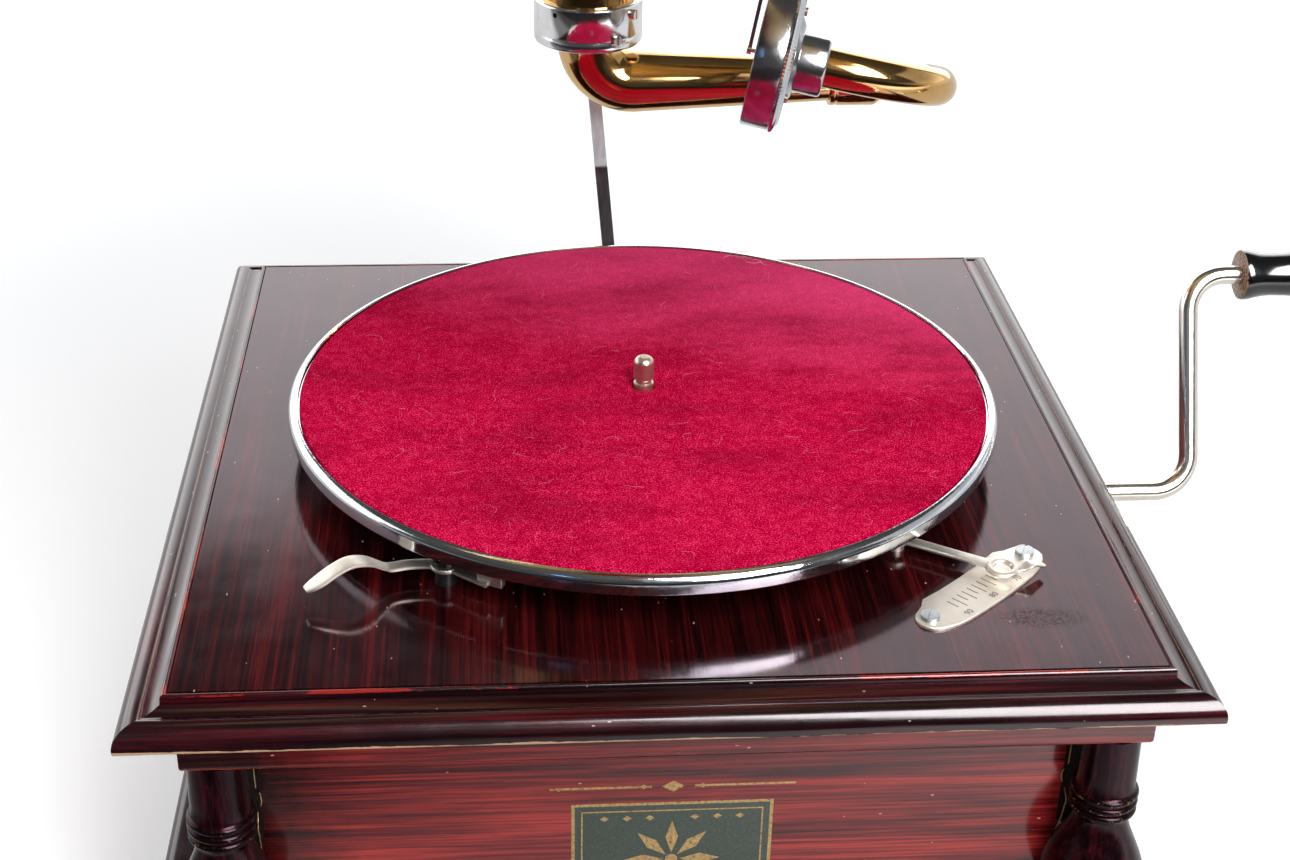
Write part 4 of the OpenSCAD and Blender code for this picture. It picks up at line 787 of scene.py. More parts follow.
lint = bmesh.new()
for i in range(120):
    far, way = 118 * luck.random() ** 0.5, luck.uniform(0, 2 * pi)
    if far > 8:
        start = (far * cos(way), far * sin(way), FELT_TOP)
        join(lint, hair(start, luck.uniform(2.0, 9.0), luck.uniform(0.022, 0.04), 0.8))
for i in range(7):
    start = (44 + luck.uniform(-5, 5), 112 + luck.uniform(-2, 2), FELT_TOP + 0.1)
    join(lint, hair(start, luck.uniform(8, 15), 0.09, 0.7, 0.25))
lint_piece = keep("lint_on_felt", lint, lint_wool, "turntable")


# tonearm, horn and collar
collar_profile = ([(12.66, 279.0), (20.6, 279.0)] + arc(20.6, 280.4, 1.4, -90, 0, 6)
                  + [(22.0, 283.0), (21.8, 283.4), (21.8, 284.0), (22.0, 284.4)]
                  + arc(20.9, 295.9, 1.1, 0, 90, 6)
                  + [(19.66, 297.0), (19.66, 285.0), (12.66, 285.0), (12.66, 279.0)])
collar = moved(turned(collar_profile, 128), Matrix.Translation(SWIVEL * MM))
keep("collar_chromed", collar, collar_chrome, "case", stands_for=["collar"], sharp=35)

ARM_POINTS, ARM_BEND, ARM_END = 56, 18.5, 86.0
FLANGE_TOP = 287.1


def level_ring(x, r):
    """Ring of the arm's level part."""
    return circle(Vector((x, SWIVEL.y, ARM_Z)), RIGHTWARD, r, ARM_POINTS, up=BACKWARD)


def swivel_ring(r, z):
    """Ring round the arm's upright axis, for a tube drawn downwards."""
    return circle(SWIVEL + Vector((0, 0, z)), -UPWARD, r, ARM_POINTS, up=BACKWARD)


def arm_rings(r_bend, r_end):
    """Rings of the arm's tube from its upright end round the elbow to its thin end."""
    rings = [swivel_ring(r_bend, FLANGE_TOP), swivel_ring(r_bend, 281.0)]
    middle = SWIVEL + Vector((ARM_BEND, 0, ARM_Z + ARM_BEND))
    for i in range(17):
        a = pi / 2 * i / 16
        spot = middle + ARM_BEND * Vector((-cos(a), 0, -sin(a)))
        rings.append(circle(spot, Vector((sin(a), 0, -cos(a))), r_bend, ARM_POINTS, up=BACKWARD))
    start = SWIVEL.x + ARM_BEND
    for share in [i / 8 for i in range(1, 9)]:
        rings.append(level_ring(start + (ARM_END - start) * share, r_bend + (r_end - r_bend) * share))
    return rings


outside, inside = arm_rings(12.6, 8.4), arm_rings(11.4, 5.8)
spigot = [level_ring(x, r) for x, r in ((ARM_END, 7.0), (104.0, 7.0), (104.0, 5.8), (ARM_END, 5.8))]
flange = [swivel_ring(r, z) for r, z in ((15.0, FLANGE_TOP), (15.0, FLANGE_TOP - 2), (12.6, FLANGE_TOP - 2))]
arm = drawn(flange + outside[1:] + spigot + inside[::-1])
keep("tonearm_tube_brass", arm, brass, "tonearm", stands_for=["tonearm_tube"], sharp=50)

HORN_BEND, HORN_LEAN, SLEEVE = 66.0, radians(30), 14.0
MOUTH_UP = radians(45)
ELBOW_START, BEND_START = 287.6, 312.0
ELBOW_R, ELBOW_WALL, ELBOW_POINTS = 19.5, 1.4, 72


def upright_ring(r, z):
    """Ring of the elbow's upright part."""
    turns = [2 * pi * k / ELBOW_POINTS for k in range(ELBOW_POINTS)]
    return [SWIVEL + Vector((r * cos(k), r * sin(k), z)) for k in turns]


def elbow_ring(r, a, on=0):
    """Ring of the elbow's bend where it has turned by a, and on past it."""
    back, up = HORN_BEND * (1 - cos(a)) + on * sin(a), HORN_BEND * sin(a) + on * cos(a)
    middle = SWIVEL + Vector((0, back, BEND_START + up))
    turns = [2 * pi * k / ELBOW_POINTS for k in range(ELBOW_POINTS)]
    return [middle + r * Vector((cos(k), sin(k) * cos(a), -sin(k) * sin(a))) for k in turns]


base = [(18.0, ELBOW_START), (19.6, ELBOW_START), (19.6, 307.6), (20.4, 307.9), (21.1, 308.8), (21.2, 309.8),
        (21.1, 310.8), (20.4, 311.7), (19.55, BEND_START)]
leans = [HORN_LEAN * i / 12 for i in range(1, 13)]
inner = ELBOW_R - ELBOW_WALL
elbow = [upright_ring(r, z) for r, z in base] + [elbow_ring(ELBOW_R, a) for a in leans]
elbow += [elbow_ring(r, HORN_LEAN, SLEEVE) for r in (ELBOW_R, inner)]
elbow += [elbow_ring(inner, a) for a in leans[::-1]] + [upright_ring(18.0, BEND_START - 1)]
keep("horn_elbow_brass", drawn(elbow), brass, "horn", stands_for=["horn_elbow"], sharp=50)

PETALS, HORN_POINTS, SHEET = 8, 128, 1.2
SEAMS_FROM = 0.25    # share of the horn's length where its petals begin to show
MOUTH_R, NECK_R = 210, 19.6 + 0.04 + SHEET
HORN_UP = Vector((0, sin(HORN_LEAN), cos(HORN_LEAN)))
BEND_END = Vector((0, HORN_BEND * (1 - cos(HORN_LEAN)), BEND_START + HORN_BEND * sin(HORN_LEAN)))
HORN_NECK = SWIVEL + BEND_END + SLEEVE * HORN_UP
HORN_MOUTH = Vector((SWIVEL.x, 0, 560))
MOUTH_BACK = Vector((0, cos(MOUTH_UP), -sin(MOUTH_UP)))
HORN_AXIS = [HORN_NECK, HORN_NECK + 100 * HORN_UP, HORN_MOUTH + 150 * MOUTH_BACK, HORN_MOUTH]


def bezier(p, t):
    """Point of a cubic curve with four control points."""
    return (1 - t) ** 3 * p[0] + 3 * (1 - t) ** 2 * t * p[1] + 3 * (1 - t) * t ** 2 * p[2] + t ** 3 * p[3]


def bezier_way(p, t):
    """Direction of that curve."""
    return ((1 - t) ** 2 * (p[1] - p[0]) + 2 * (1 - t) * t * (p[2] - p[1])
            + t ** 2 * (p[3] - p[2])).normalized()


def horn_mid(t):
    """Middle of the horn at a share of its axis; below 0 it runs down over the elbow."""
    return HORN_NECK + t * SLEEVE * HORN_UP if t < 0 else bezier(HORN_AXIS, t)


def seam_depth(t):
    """How far the petals stand out, from 0 in the neck to 1 at the mouth."""
    return (max(t - SEAMS_FROM, 0) / (1 - SEAMS_FROM)) ** 2


def seam_near(a):
    """1 at a seam between petals, 0 at the middle of a petal."""
    return 1 - abs(sin(a * PETALS / 2))


def horn_radius(a, t):
    """Flared radius, drawn in at the seams between petals towards the mouth."""
    return NECK_R * (MOUTH_R / NECK_R) ** (max(t, 0) ** 1.35) * (1 - 0.075 * seam_depth(t) * seam_near(a))


def horn_point(a, t, wall):
    """Point of the horn's sheet, wall millimetres in from its outer face."""
    mid, way = horn_mid(t), bezier_way(HORN_AXIS, max(t, 0))
    span = (horn_mid(t + 0.01) - horn_mid(t - 0.01)).length
    slope = atan2(horn_radius(a, t + 0.01) - horn_radius(a, t - 0.01), span)
    r = horn_radius(a, t) - wall * cos(slope)
    shift = -16 * seam_depth(t) ** 2 * seam_near(a) + wall * sin(slope)
    across = Vector((0, way.z, -way.y))
    return mid + Vector((r * cos(a), 0, 0)) + r * sin(a) * across + shift * way


def horn_ring(t, wall):
    """Ring of the horn's sheet, its points evenly turned about the axis."""
    return [horn_point(2 * pi * k / HORN_POINTS, t, wall) for k in range(HORN_POINTS)]


def wired_ring(side, a, wire=2.3):
    """Ring of the mouth's rolled edge, turned by a round its wire, on the outer (1) or inner (-1) side."""
    ring = []
    for k in range(HORN_POINTS):
        way = 2 * pi * k / HORN_POINTS
        edge, out = horn_point(way, 1, SHEET / 2), horn_point(way, 1, 0) - horn_point(way, 1, SHEET)
        ahead = (edge - horn_point(way, 0.97, SHEET / 2)).normalized()
        ring.append(edge + wire * ((1 + sin(a)) * ahead + side * cos(a) * out.normalized()))
    return ring


JOIN = 0.5           # share of the horn's length where bell and neck meet
neck_steps = [JOIN * i / 24 for i in range(24)] + [JOIN - 0.014]
band = [(JOIN - 0.0135, -0.9), (JOIN - 0.011, -1.2), (JOIN - 0.003, -1.2), (JOIN, -0.9)]
neck = [horn_ring(t, 0) for t in [-1] + neck_steps] + [horn_ring(t, wall) for t, wall in band]
neck += [horn_ring(t, SHEET) for t in [JOIN] + neck_steps[::-1] + [-1]]
keep("horn_neck_brass", drawn(neck), horn_brass, "horn", stands_for=["horn_neck"], sharp=50)
bell_steps = [JOIN + (1 - JOIN) * i / 30 for i in range(31)]
rolls = [radians(a) for a in (-60, -35, -10, 15, 40, 62, 82)]
bell = [horn_ring(t, 0) for t in bell_steps] + [wired_ring(1, a) for a in rolls]
bell += [wired_ring(-1, a) for a in rolls[::-1]] + [horn_ring(t, SHEET) for t in bell_steps[::-1]]
keep("horn_bell_brass", drawn(bell), horn_brass, "horn", stands_for=["horn_bell"], sharp=30)

# gooseneck: sleeve with a shallow groove round it, then the bent tube
BOX_TURN, BOX_DIP = radians(-11.5), radians(10)
BOX_WAY = Vector((cos(BOX_DIP) * cos(BOX_TURN), cos(BOX_DIP) * sin(BOX_TURN), -sin(BOX_DIP)))
BOX_TILT = Matrix.Rotation(BOX_TURN, 4, "Z") @ Matrix.Rotation(pi / 2 + BOX_DIP, 4, "Y")
BOX_PLACE = Matrix.Translation(BOX_FACE * MM) @ BOX_TILT
BOSS_END, NECK_OUT, NECK_IN = 27.7, 7.8, 6.0
neck_start = Vector((98, SWIVEL.y, ARM_Z))
neck_end = BOX_FACE + BOSS_END * BOX_WAY
GOOSENECK = [neck_start, neck_start + 46 * RIGHTWARD, neck_end + 58 * BOX_WAY, neck_end]
sleeve = [(10.0, 86.3), (10.3, 86.8), (10.3, 88.6), (10.05, 88.9), (10.05, 89.5), (10.3, 89.8), (10.3, 104.6),
          (10.1, 105.3), (9.4, 106.4), (8.5, 107.6), (NECK_OUT, 108.3)]
bore = [(NECK_IN, 105.2), (7.05, 105.0), (7.05, 86.3)]


def sleeve_rings(profile):
    """Rings round the arm's axis for (radius, place along the arm) points."""
    return [circle(Vector((x, SWIVEL.y, ARM_Z)), RIGHTWARD, r, 40) for r, x in profile]


def neck_rings(r, clear_of, shares):
    """Rings of the bent tube at shares of its curve, but for those that the sleeve's end holds."""
    free = [t for t in shares if t > 0.5 or bezier(GOOSENECK, t).x > clear_of]
    return [circle(bezier(GOOSENECK, t), bezier_way(GOOSENECK, t), r, 40) for t in free]


shares = [i / 44 for i in range(45)]
tube = sleeve_rings(sleeve) + neck_rings(NECK_OUT, 109, shares)
tube += [circle(neck_end - 8 * BOX_WAY, -BOX_WAY, r, 40) for r in (NECK_OUT, NECK_IN)]
tube += neck_rings(NECK_IN, 106, shares[::-1]) + sleeve_rings(bore)
keep("gooseneck_brass", drawn(tube), brass, "gooseneck", stands_for=["gooseneck_tube"], sharp=50)


# soundbox
drum_profile = [(21.0, 0.0), (27.4, 0.0), (28.0, 0.3), (28.3, 0.9), (28.3, 10.6), (28.0, 11.3), (25.5, 11.3),
                (25.5, 2.4), (21.0, 2.4), (21.0, 0.0)]
back_profile = [(6.0, 7.2), (25.4, 7.2), (25.4, 11.0), (22.8, 11.2), (22.8, 14.4), (22.3, 14.8), (17.5, 14.8),
                (16.6, 15.2), (14.6, 16.4), (13.6, 16.8), (11.8, 16.8), (11.8, 26.6), (11.5, 27.3),
                (10.9, BOSS_END), (7.84, BOSS_END), (7.84, 19.5), (6.0, 19.5), (6.0, 7.2)]
ring_profile = [(22.9, 11.4), (28.6, 11.4), (28.8, 11.7), (28.8, 12.5), (28.4, 12.8), (25.0, 14.6),
                (24.6, 14.7), (22.9, 14.7), (22.9, 11.4)]
KNURLS, KNURL_FROM, KNURL_DEPTH = 240, 24.9, 0.014


def box_part(name, bm, finish, node, sharp=35):
    """A turned piece of the soundbox, set on its tilted axis."""
    keep(name, moved(bm, BOX_PLACE), finish, "gooseneck", stands_for=[node], sharp=sharp)


box_part("soundbox_drum_chromed", turned(drum_profile, 128), drum_chrome, "soundbox_drum")
box_part("soundbox_back_chromed", turned(back_profile, 96), drum_chrome, "soundbox_back")
knurled = turned(ring_profile, KNURLS)
for v in knurled.verts:
    if hypot(v.co.x, v.co.y) > KNURL_FROM * MM:
        tooth = int(round(atan2(v.co.y, v.co.x) / (2 * pi) * KNURLS)) % 2
        v.co.xy *= 1 - KNURL_DEPTH * tooth
box_part("soundbox_ring_knurled", knurled, chrome, "soundbox_ring", sharp=20)


# levers and speed plate
def strip(path, half_widths, thick):
    """Sprung flat lever: a rounded bar drawn along its path, with half its width given at each point."""
    turns = [2 * pi * k / 16 for k in range(16)]
    squared = [(copysign(abs(cos(a)) ** 0.5, cos(a)), copysign(abs(sin(a)) ** 0.5, sin(a))) for a in turns]
    rings = []
    for i, (spot, half) in enumerate(zip(path, half_widths)):
        way = path_way(path, i)
        side = way.cross(UPWARD).normalized()
        up = side.cross(way)
        rings.append([spot + half * a * side + (thick / 2) * b * up for a, b in squared])
    return drawn(rings, closed=False)


def smooth_path(points, count):
    """Even points on a smooth curve through the given ones."""
    spots = []
    last = len(points) - 1
    for i in range(count):
        t = i / (count - 1) * last
        k = min(int(t), last - 1)
        f = t - k
        a, b, c, d = (Vector(points[max(min(j, last), 0)]) for j in (k - 1, k, k + 1, k + 2))
        spots.append(0.5 * (2 * b + (c - a) * f + (2 * a - 5 * b + 4 * c - d) * f ** 2
                            + (3 * b - a - 3 * c + d) * f ** 3))
    return spots


def bar(low, high, soft=0.3):
    """Box with softened edges between two corners in millimetres."""
    bm = bmesh.new()
    low, high = Vector(low), Vector(high)
    size = high - low
    bmesh.ops.create_cube(bm, size=1,
                          matrix=Matrix.Translation((low + high) / 2 * MM)
                          @ Matrix.Diagonal((*(size * MM), 1)))
    if soft:
        soften(bm, bm.edges[:], soft)
    return bm


def cut_plate(outline, thick, soft):
    """Sheet stamped to an outline, with its upper edge rolled over by the tool."""
    bm = bmesh.new()
    face = bm.faces.new([bm.verts.new(at(x, y, 0)) for x, y in outline])
    bm.normal_update()
    raised = new_points(bmesh.ops.extrude_face_region(bm, geom=[face]))
    bmesh.ops.translate(bm, verts=raised, vec=at(0, 0, thick))
    soften(bm, [e for e in bm.edges if all(v in raised for v in e.verts)], soft, 3)
    return bm


PLATE_PLACE = Matrix.Translation(at(101.6, -105.9, TOP)) @ Matrix.Rotation(radians(42.9), 4, "Z")
PLATE_THICK = 1.0
PLATE_LOW = [(10.0, -9.8), (18.0, -9.3), (22.6, -8.5), (25.0, -7.6), (28.0, -6.3), (30.2, -4.6), (31.2, -2.4)]
PLATE_HIGH = [(31.4, 0.2), (30.6, 2.6), (28.6, 4.4), (25.8, 5.2), (23.2, 5.9), (19.5, 8.0), (12.0, 7.3)]


def left_half(right_half):
    """The same points mirrored, in the order that carries the outline on."""
    return [(-x, y) for x, y in right_half[::-1]]


PLATE_EDGE = (left_half(PLATE_LOW) + [(0.0, -10.0)] + PLATE_LOW + PLATE_HIGH + [(0.0, 7.0)]
              + left_half(PLATE_HIGH))
plate = moved(cut_plate(PLATE_EDGE, PLATE_THICK, 0.35), PLATE_PLACE)
keep("speed_plate_stamped", plate, satin_nickel, "case", stands_for=["speed_plate"], sharp=60)


def numerals(words, size, spot):
    """Plain numerals as flat raised shapes, standing on the plate's lower edge."""
    shape = bpy.data.curves.new("numerals", "FONT")
    shape.body, shape.size, shape.extrude, shape.resolution_u = words, size * MM, 0.03 * MM, 3
    shape.align_x = "CENTER"
    holder = bpy.data.objects.new("numerals", shape)
    scene.collection.objects.link(holder)
    bpy.context.view_layer.update()
    flat = bpy.data.meshes.new_from_object(holder)
    bpy.data.objects.remove(holder)
    bm = bmesh.new()
    bm.from_mesh(flat)
    bpy.data.meshes.remove(flat)
    return shifted(bm, *spot)


MARK_PITCH, MARK_WIDE = 2.7, 0.35
marks = bmesh.new()
for k in range(9):
    x = -15.4 + MARK_PITCH * k
    join(marks, bar((x, -4.4 if k % 2 else -2.9, PLATE_THICK - 0.1), (x + MARK_WIDE, 1.6, PLATE_THICK + 0.03),
                    0))
for words, x in (("90", -15.2), ("80", -1.4), ("70", 12.0)):
    join(marks, numerals(words, 3.2, (x, -7.9, PLATE_THICK + 0.01)))
keep("speed_plate_marks", moved(marks, PLATE_PLACE), dark_mark, "case", sharp=60)

SPEED_PIVOT, SPEED_EYE, SPEED_Z = Vector((79, -81)), Vector((110.2, -101.0)), 182.0
CAM_R, CAM_OFF = 6.0, 3.0
way = (SPEED_EYE - SPEED_PIVOT).normalized()
neck = SPEED_EYE - 4.6 * way
lever_path = smooth_path([(*SPEED_PIVOT, 181.9), (94, -90.6, 181.9), (*(neck - 5 * way), SPEED_Z),
                          (*neck, SPEED_Z)], 14)
lever = strip(lever_path, [2.3] * 14, 1.4)
EYE = [(3.1, -0.7), (5.0, -0.7), (5.5, -0.35), (5.5, 0.35), (5.0, 0.75), (3.5, 0.75), (3.1, 0.4), (3.1, -0.7)]
join(lever, shifted(turned(EYE, 48), *SPEED_EYE, SPEED_Z))
tongue = smooth_path([(114.6, -102.4, 182.1), (117.0, -101.9, 182.6), (119.0, -101.6, 183.5),
                      (121.2, -100.3, 182.9), (124.6, -98.9, 181.2)], 16)
join(lever, strip(tongue, [1.5 + 0.55 * sin(pi * i / 14) for i in range(15)] + [1.0], 1.1))
BOSS = [(0, 146.0), (2.9, 146.0), (2.9, 181.2), (4.9, 181.2), (5.0, 181.6), (4.9, 182.5), (4.2, 182.6),
        (4.2, 184.0), (3.8, 184.4), (0, 184.4)]
join(lever, shifted(turned(BOSS, 40), *SPEED_PIVOT, 0))
CAM = [(0, 147), (CAM_R - 0.3, 147), (CAM_R, 147.3), (CAM_R, 153.7), (CAM_R - 0.3, 154), (0, 154)]
cam_at = SPEED_PIVOT + CAM_OFF * Vector((cos(radians(240)), sin(radians(240))))
join(lever, shifted(turned(CAM, 48), *cam_at, 0))
keep("speed_lever_nickelled", lever, lever_nickel, "speed", stands_for=["speed_lever"], sharp=50)

BRAKE_PIVOT, PAD_AT, BRAKE_Z = (-70, -95), (-55.5, -105.6), 184.1
FINGER_HALF = 3.5


def brake_half_width(i):
    """Half the lever's width at a point of its path: even, wider to the finger, then rounded off."""
    if i < 27:
        return 2.6 + max(i - 15, 0) / 12 * (FINGER_HALF - 2.6)
    return FINGER_HALF * max(0.25, 1 - (max(i - 38, 0) / 7.6) ** 2) ** 0.5


brake_path = smooth_path([(*BRAKE_PIVOT, BRAKE_Z), (-76, -94.2, BRAKE_Z), (-82, -94.4, BRAKE_Z),
                          (-87.7, -96.0, 184.3), (-90.5, -97.3, 186.0), (-94.5, -99.3, 188.9),
                          (-99.7, -101.8, 190.2), (-104.5, -104.0, 188.8), (-109, -106.0, 186.4),
                          (-113.6, -107.9, 184.2)], 46)
brake = strip(brake_path, [brake_half_width(i) for i in range(46)], 1.2)
WASHER = [(2.2, 183.4), (4.8, 183.4), (5.0, 183.7), (5.0, 184.5), (4.8, 184.8), (2.2, 184.8), (2.2, 183.4)]
join(brake, shifted(turned(WASHER, 40), *BRAKE_PIVOT, 0))
pad_arm = [Vector((x, y, BRAKE_Z)) for x, y in ((-66.6, -97.5), (-62.5, -100.5), (-58.8, -103.2), PAD_AT)]
join(brake, strip(pad_arm, [2.6, 3.0, 3.2, 3.4], 1.4))
pad = bar((-1.4, -4.4, 183.4), (1.4, 4.4, 194.0))
join(brake, moved(pad, Matrix.Translation(at(*PAD_AT, 0)) @ Matrix.Rotation(radians(62), 4, "Z")))
keep("brake_lever_nickelled", brake, lever_nickel, "brake", stands_for=["brake_lever"], sharp=50)


# front ornament
FRONT = -PANEL_HALF
SUNK = 0.2           # how far each flat figure reaches into the panel
LEFT, RIGHT, HIGH, LOW = -31.0, 35.0, TOP - 64.0, 66.0
MIDDLE, CENTRE = (LEFT + RIGHT) / 2, (HIGH + LOW) / 2


def front_piece(name, shapes, finish):
    """One piece from flat figures on the front panel."""
    bm = bmesh.new()
    for shape in shapes:
        join(bm, shape)
    keep(name, bm, finish, "case", sharp=40)


def on_front(x0, z0, x1, z1, proud):
    """Flat upright rectangle on the front panel, standing proud of it."""
    return bar((x0, FRONT - proud, z0), (x1, FRONT + SUNK, z1), 0)


def lozenge(x, z, wide, high, proud):
    """Flat four-pointed figure on the front panel."""
    bm = bmesh.new()
    bmesh.ops.create_circle(bm, cap_ends=True, segments=4, radius=1)
    size = Matrix.Diagonal((wide / 2 * MM, high / 2 * MM, 1, 1))
    moved(bm, Matrix.Translation(at(x, FRONT - proud, z)) @ Matrix.Rotation(pi / 2, 4, "X") @ size)
    grown = bmesh.ops.extrude_face_region(bm, geom=bm.faces[:])
    bmesh.ops.translate(bm, verts=new_points(grown), vec=at(0, proud + SUNK, 0))
    return bm


def frame_lines(inset, wide, proud):
    """Four gold lines round the ornament's field, inset from its edge."""
    x0, z0, x1, z1 = LEFT + inset, LOW + inset, RIGHT - inset, HIGH - inset
    return [on_front(x0, z1 - wide, x1, z1, proud), on_front(x0, z0, x1, z0 + wide, proud),
            on_front(x0, z0 + wide, x0 + wide, z1 - wide, proud),
            on_front(x1 - wide, z0 + wide, x1, z1 - wide, proud)]


front_piece("front_ornament_field", [on_front(LEFT, LOW, RIGHT, HIGH, 0.05)], transfer_green)
lines = frame_lines(0, 1.1, 0.09) + frame_lines(3.2, 0.5, 0.08)
for k in (-3, -2, -1, 1, 2, 3):
    lines += [lozenge(MIDDLE + 7.4 * k, side, 3.0, 2.2, 0.08) for side in (HIGH - 6.4, LOW + 6.4)]
front_piece("front_ornament_gold_lines", lines, gold)
petals = []
for k in range(8):
    turn = Matrix.Translation(at(MIDDLE, 0, CENTRE)) @ Matrix.Rotation(k * pi / 4, 4, "Y")
    petals.append(moved(lozenge(0, 9.3, 4.2, 13.4, 0.08), turn))
button = turned([(0, 0.0), (2.0, 0.0), (2.0, 0.28), (0, 0.28)], 32)
petals.append(moved(button,
                    Matrix.Translation(at(MIDDLE, FRONT + SUNK, CENTRE)) @ Matrix.Rotation(pi / 2, 4, "X")))
front_piece("front_ornament_rosette", petals, gold)
RULE_Z = TOP - 57.5
rule = [on_front(x0, RULE_Z - 0.4, x1, RULE_Z + 0.4, 0.07) for x0, x1 in ((-38.0, -5.0), (9.0, 42.0))]
rule += [lozenge(x, RULE_Z, wide, high, 0.07)
         for x, wide, high in ((2.0, 7.4, 4.4), (-7.6, 2.6, 1.9), (11.6, 2.6, 1.9))]
front_piece("front_ornament_rule", rule, gold)

# pale line of lacquer run into the joint between each corner column and the panels
JOINT = [(146.9, 8.4), (137, 8.7), (127, 8.9), (124.5, 10.0), (121, 11.2), (117, 10.6), (113.5, 6.6),
         (108, 7.0), (101, 9.2), (95, 11.6), (88, 13.2), (80, 12.0), (72, 9.0), (66, 7.0), (61, 6.4),
         (56, 8.5), (52.1, 10.5)]
ON_PANEL = PANEL_HALF + 0.05
for k, (x, y) in enumerate(CORNERS):
    runs = bmesh.new()
    on_end = [(x * (COLUMN_AT - off), y * ON_PANEL, z) for z, off in JOINT]
    on_side = [(x * ON_PANEL, y * (COLUMN_AT - off), z) for z, off in JOINT]
    for spots in (on_end, on_side):
        wavy = [p + 0.25 * noise.noise_vector(p / 3.0) for p in smooth_path(spots, 80)]
        join(runs, drawn([circle(p, UPWARD, 0.22, 5, up=BACKWARD) for p in wavy], closed=False))
    keep(f"lacquer_line_at_column_{k + 1}", runs, gold, "case", sharp=60)


# crank
CRANK_PLACE = Matrix.Translation(at(0, 15, 139.6)) @ Matrix.Rotation(radians(-26.2), 4, "X")
THROW, CRANK_X, BEND, ROD_R = 83.7, 215.3, 14.0, 3.6
GRIP_AT, GRIP_LONG = 235.5, 77.6
ALONG_X = Matrix.Rotation(pi / 2, 4, "Y")
bends = [pi / 2 * i / 12 for i in range(13)]
rod_path = [Vector((x, 0, 0)) for x in (157.2, 180, 195)]
rod_path += [Vector((CRANK_X - BEND + BEND * sin(a), 0, BEND - BEND * cos(a))) for a in bends]
rod_path += [Vector((CRANK_X, 0, 30)), Vector((CRANK_X, 0, 55))]
rod_path += [Vector((CRANK_X + BEND - BEND * cos(a), 0, THROW - BEND + BEND * sin(a))) for a in bends]
rod_path += [Vector((CRANK_X + 40, 0, THROW)), Vector((CRANK_X + 99.6, 0, THROW))]
rod = swept(rod_path, ROD_R, 32)
cap = turned([(0, 0), (5.0, 0.0), (5.5, 0.4), (5.5, 1.6), (4.6, 2.2), (0, 2.2)], 40)
join(rod, moved(cap, Matrix.Translation(at(GRIP_AT + GRIP_LONG + 0.7, 0, THROW)) @ ALONG_X))
keep("crank_rod_nickelled", moved(rod, CRANK_PLACE), nickel, "crank", stands_for=["crank_rod"],
     sharp=40)
grip_profile = ([(3.7, 0.0), (5.2, 0.0), (5.6, 0.25), (8.8, 0.0), (9.5, 0.35), (9.7, 1.2), (9.6, 3.0),
                 (8.9, 6.0), (8.4, 9.0), (8.2, 12.0), (8.3, 18.0), (8.8, 24.0), (9.5, 30.0), (10.3, 37.0),
                 (11.1, 44.0), (11.8, 50.0), (12.1, 56.0), (12.1, 62.0), (11.9, 66.0)]
                + arc(4.3, 70.0, 7.4, 20, 78, 8) + [(3.7, GRIP_LONG), (3.7, 0.0)])
grip = moved(turned(grip_profile, 64), CRANK_PLACE @ Matrix.Translation(at(GRIP_AT, 0, THROW)) @ ALONG_X)
grip_piece = keep("crank_grip_turned", grip, grip_black, "grip", stands_for=["crank_grip"],
                  sharp=50)
bare_from, bare_to = GRIP_AT + 0.4, GRIP_AT + GRIP_LONG - 0.2
crests(grip_piece, "bare", lambda spot: 0.5 if spot.x < bare_from or spot.x > bare_to else 0.0)


# camera: solved from the felt's ellipse, the top board's square and the spindle
YAW, PITCH, ROLL = radians(4.613), radians(29.115), radians(1.2265)
CAMERA_AT = at(-49.97, -630.27, 531.43)
FOCAL_PIXELS, PHOTO_PIXELS, SENSOR = 1974.93, 1290, 36.0
ahead = Vector((sin(YAW) * cos(PITCH), cos(YAW) * cos(PITCH), -sin(PITCH)))
right = Vector((cos(YAW), -sin(YAW), 0))
up = right.cross(ahead)
side = cos(ROLL) * right + sin(ROLL) * up
head = -sin(ROLL) * right + cos(ROLL) * up
lens = bpy.data.cameras.new("photo_camera")
lens.sensor_width = SENSOR
lens.lens = FOCAL_PIXELS / PHOTO_PIXELS * SENSOR
lens.clip_start, lens.clip_end = 0.01, 50.0
camera = bpy.data.objects.new("photo_camera", lens)
camera.matrix_world = Matrix.Translation(CAMERA_AT) @ Matrix((side, head, -ahead)).transposed().to_4x4()
scene.collection.objects.link(camera)
scene.camera = camera


# floor, world and lamps
floor_form = bpy.data.meshes.new("studio_floor")
floor_grid = bmesh.new()
bmesh.ops.create_grid(floor_grid, x_segments=2, y_segments=2, size=6.0)
floor_grid.to_mesh(floor_form)
floor_grid.free()
floor = bpy.data.objects.new("studio_floor", floor_form)
scene.collection.objects.link(floor)


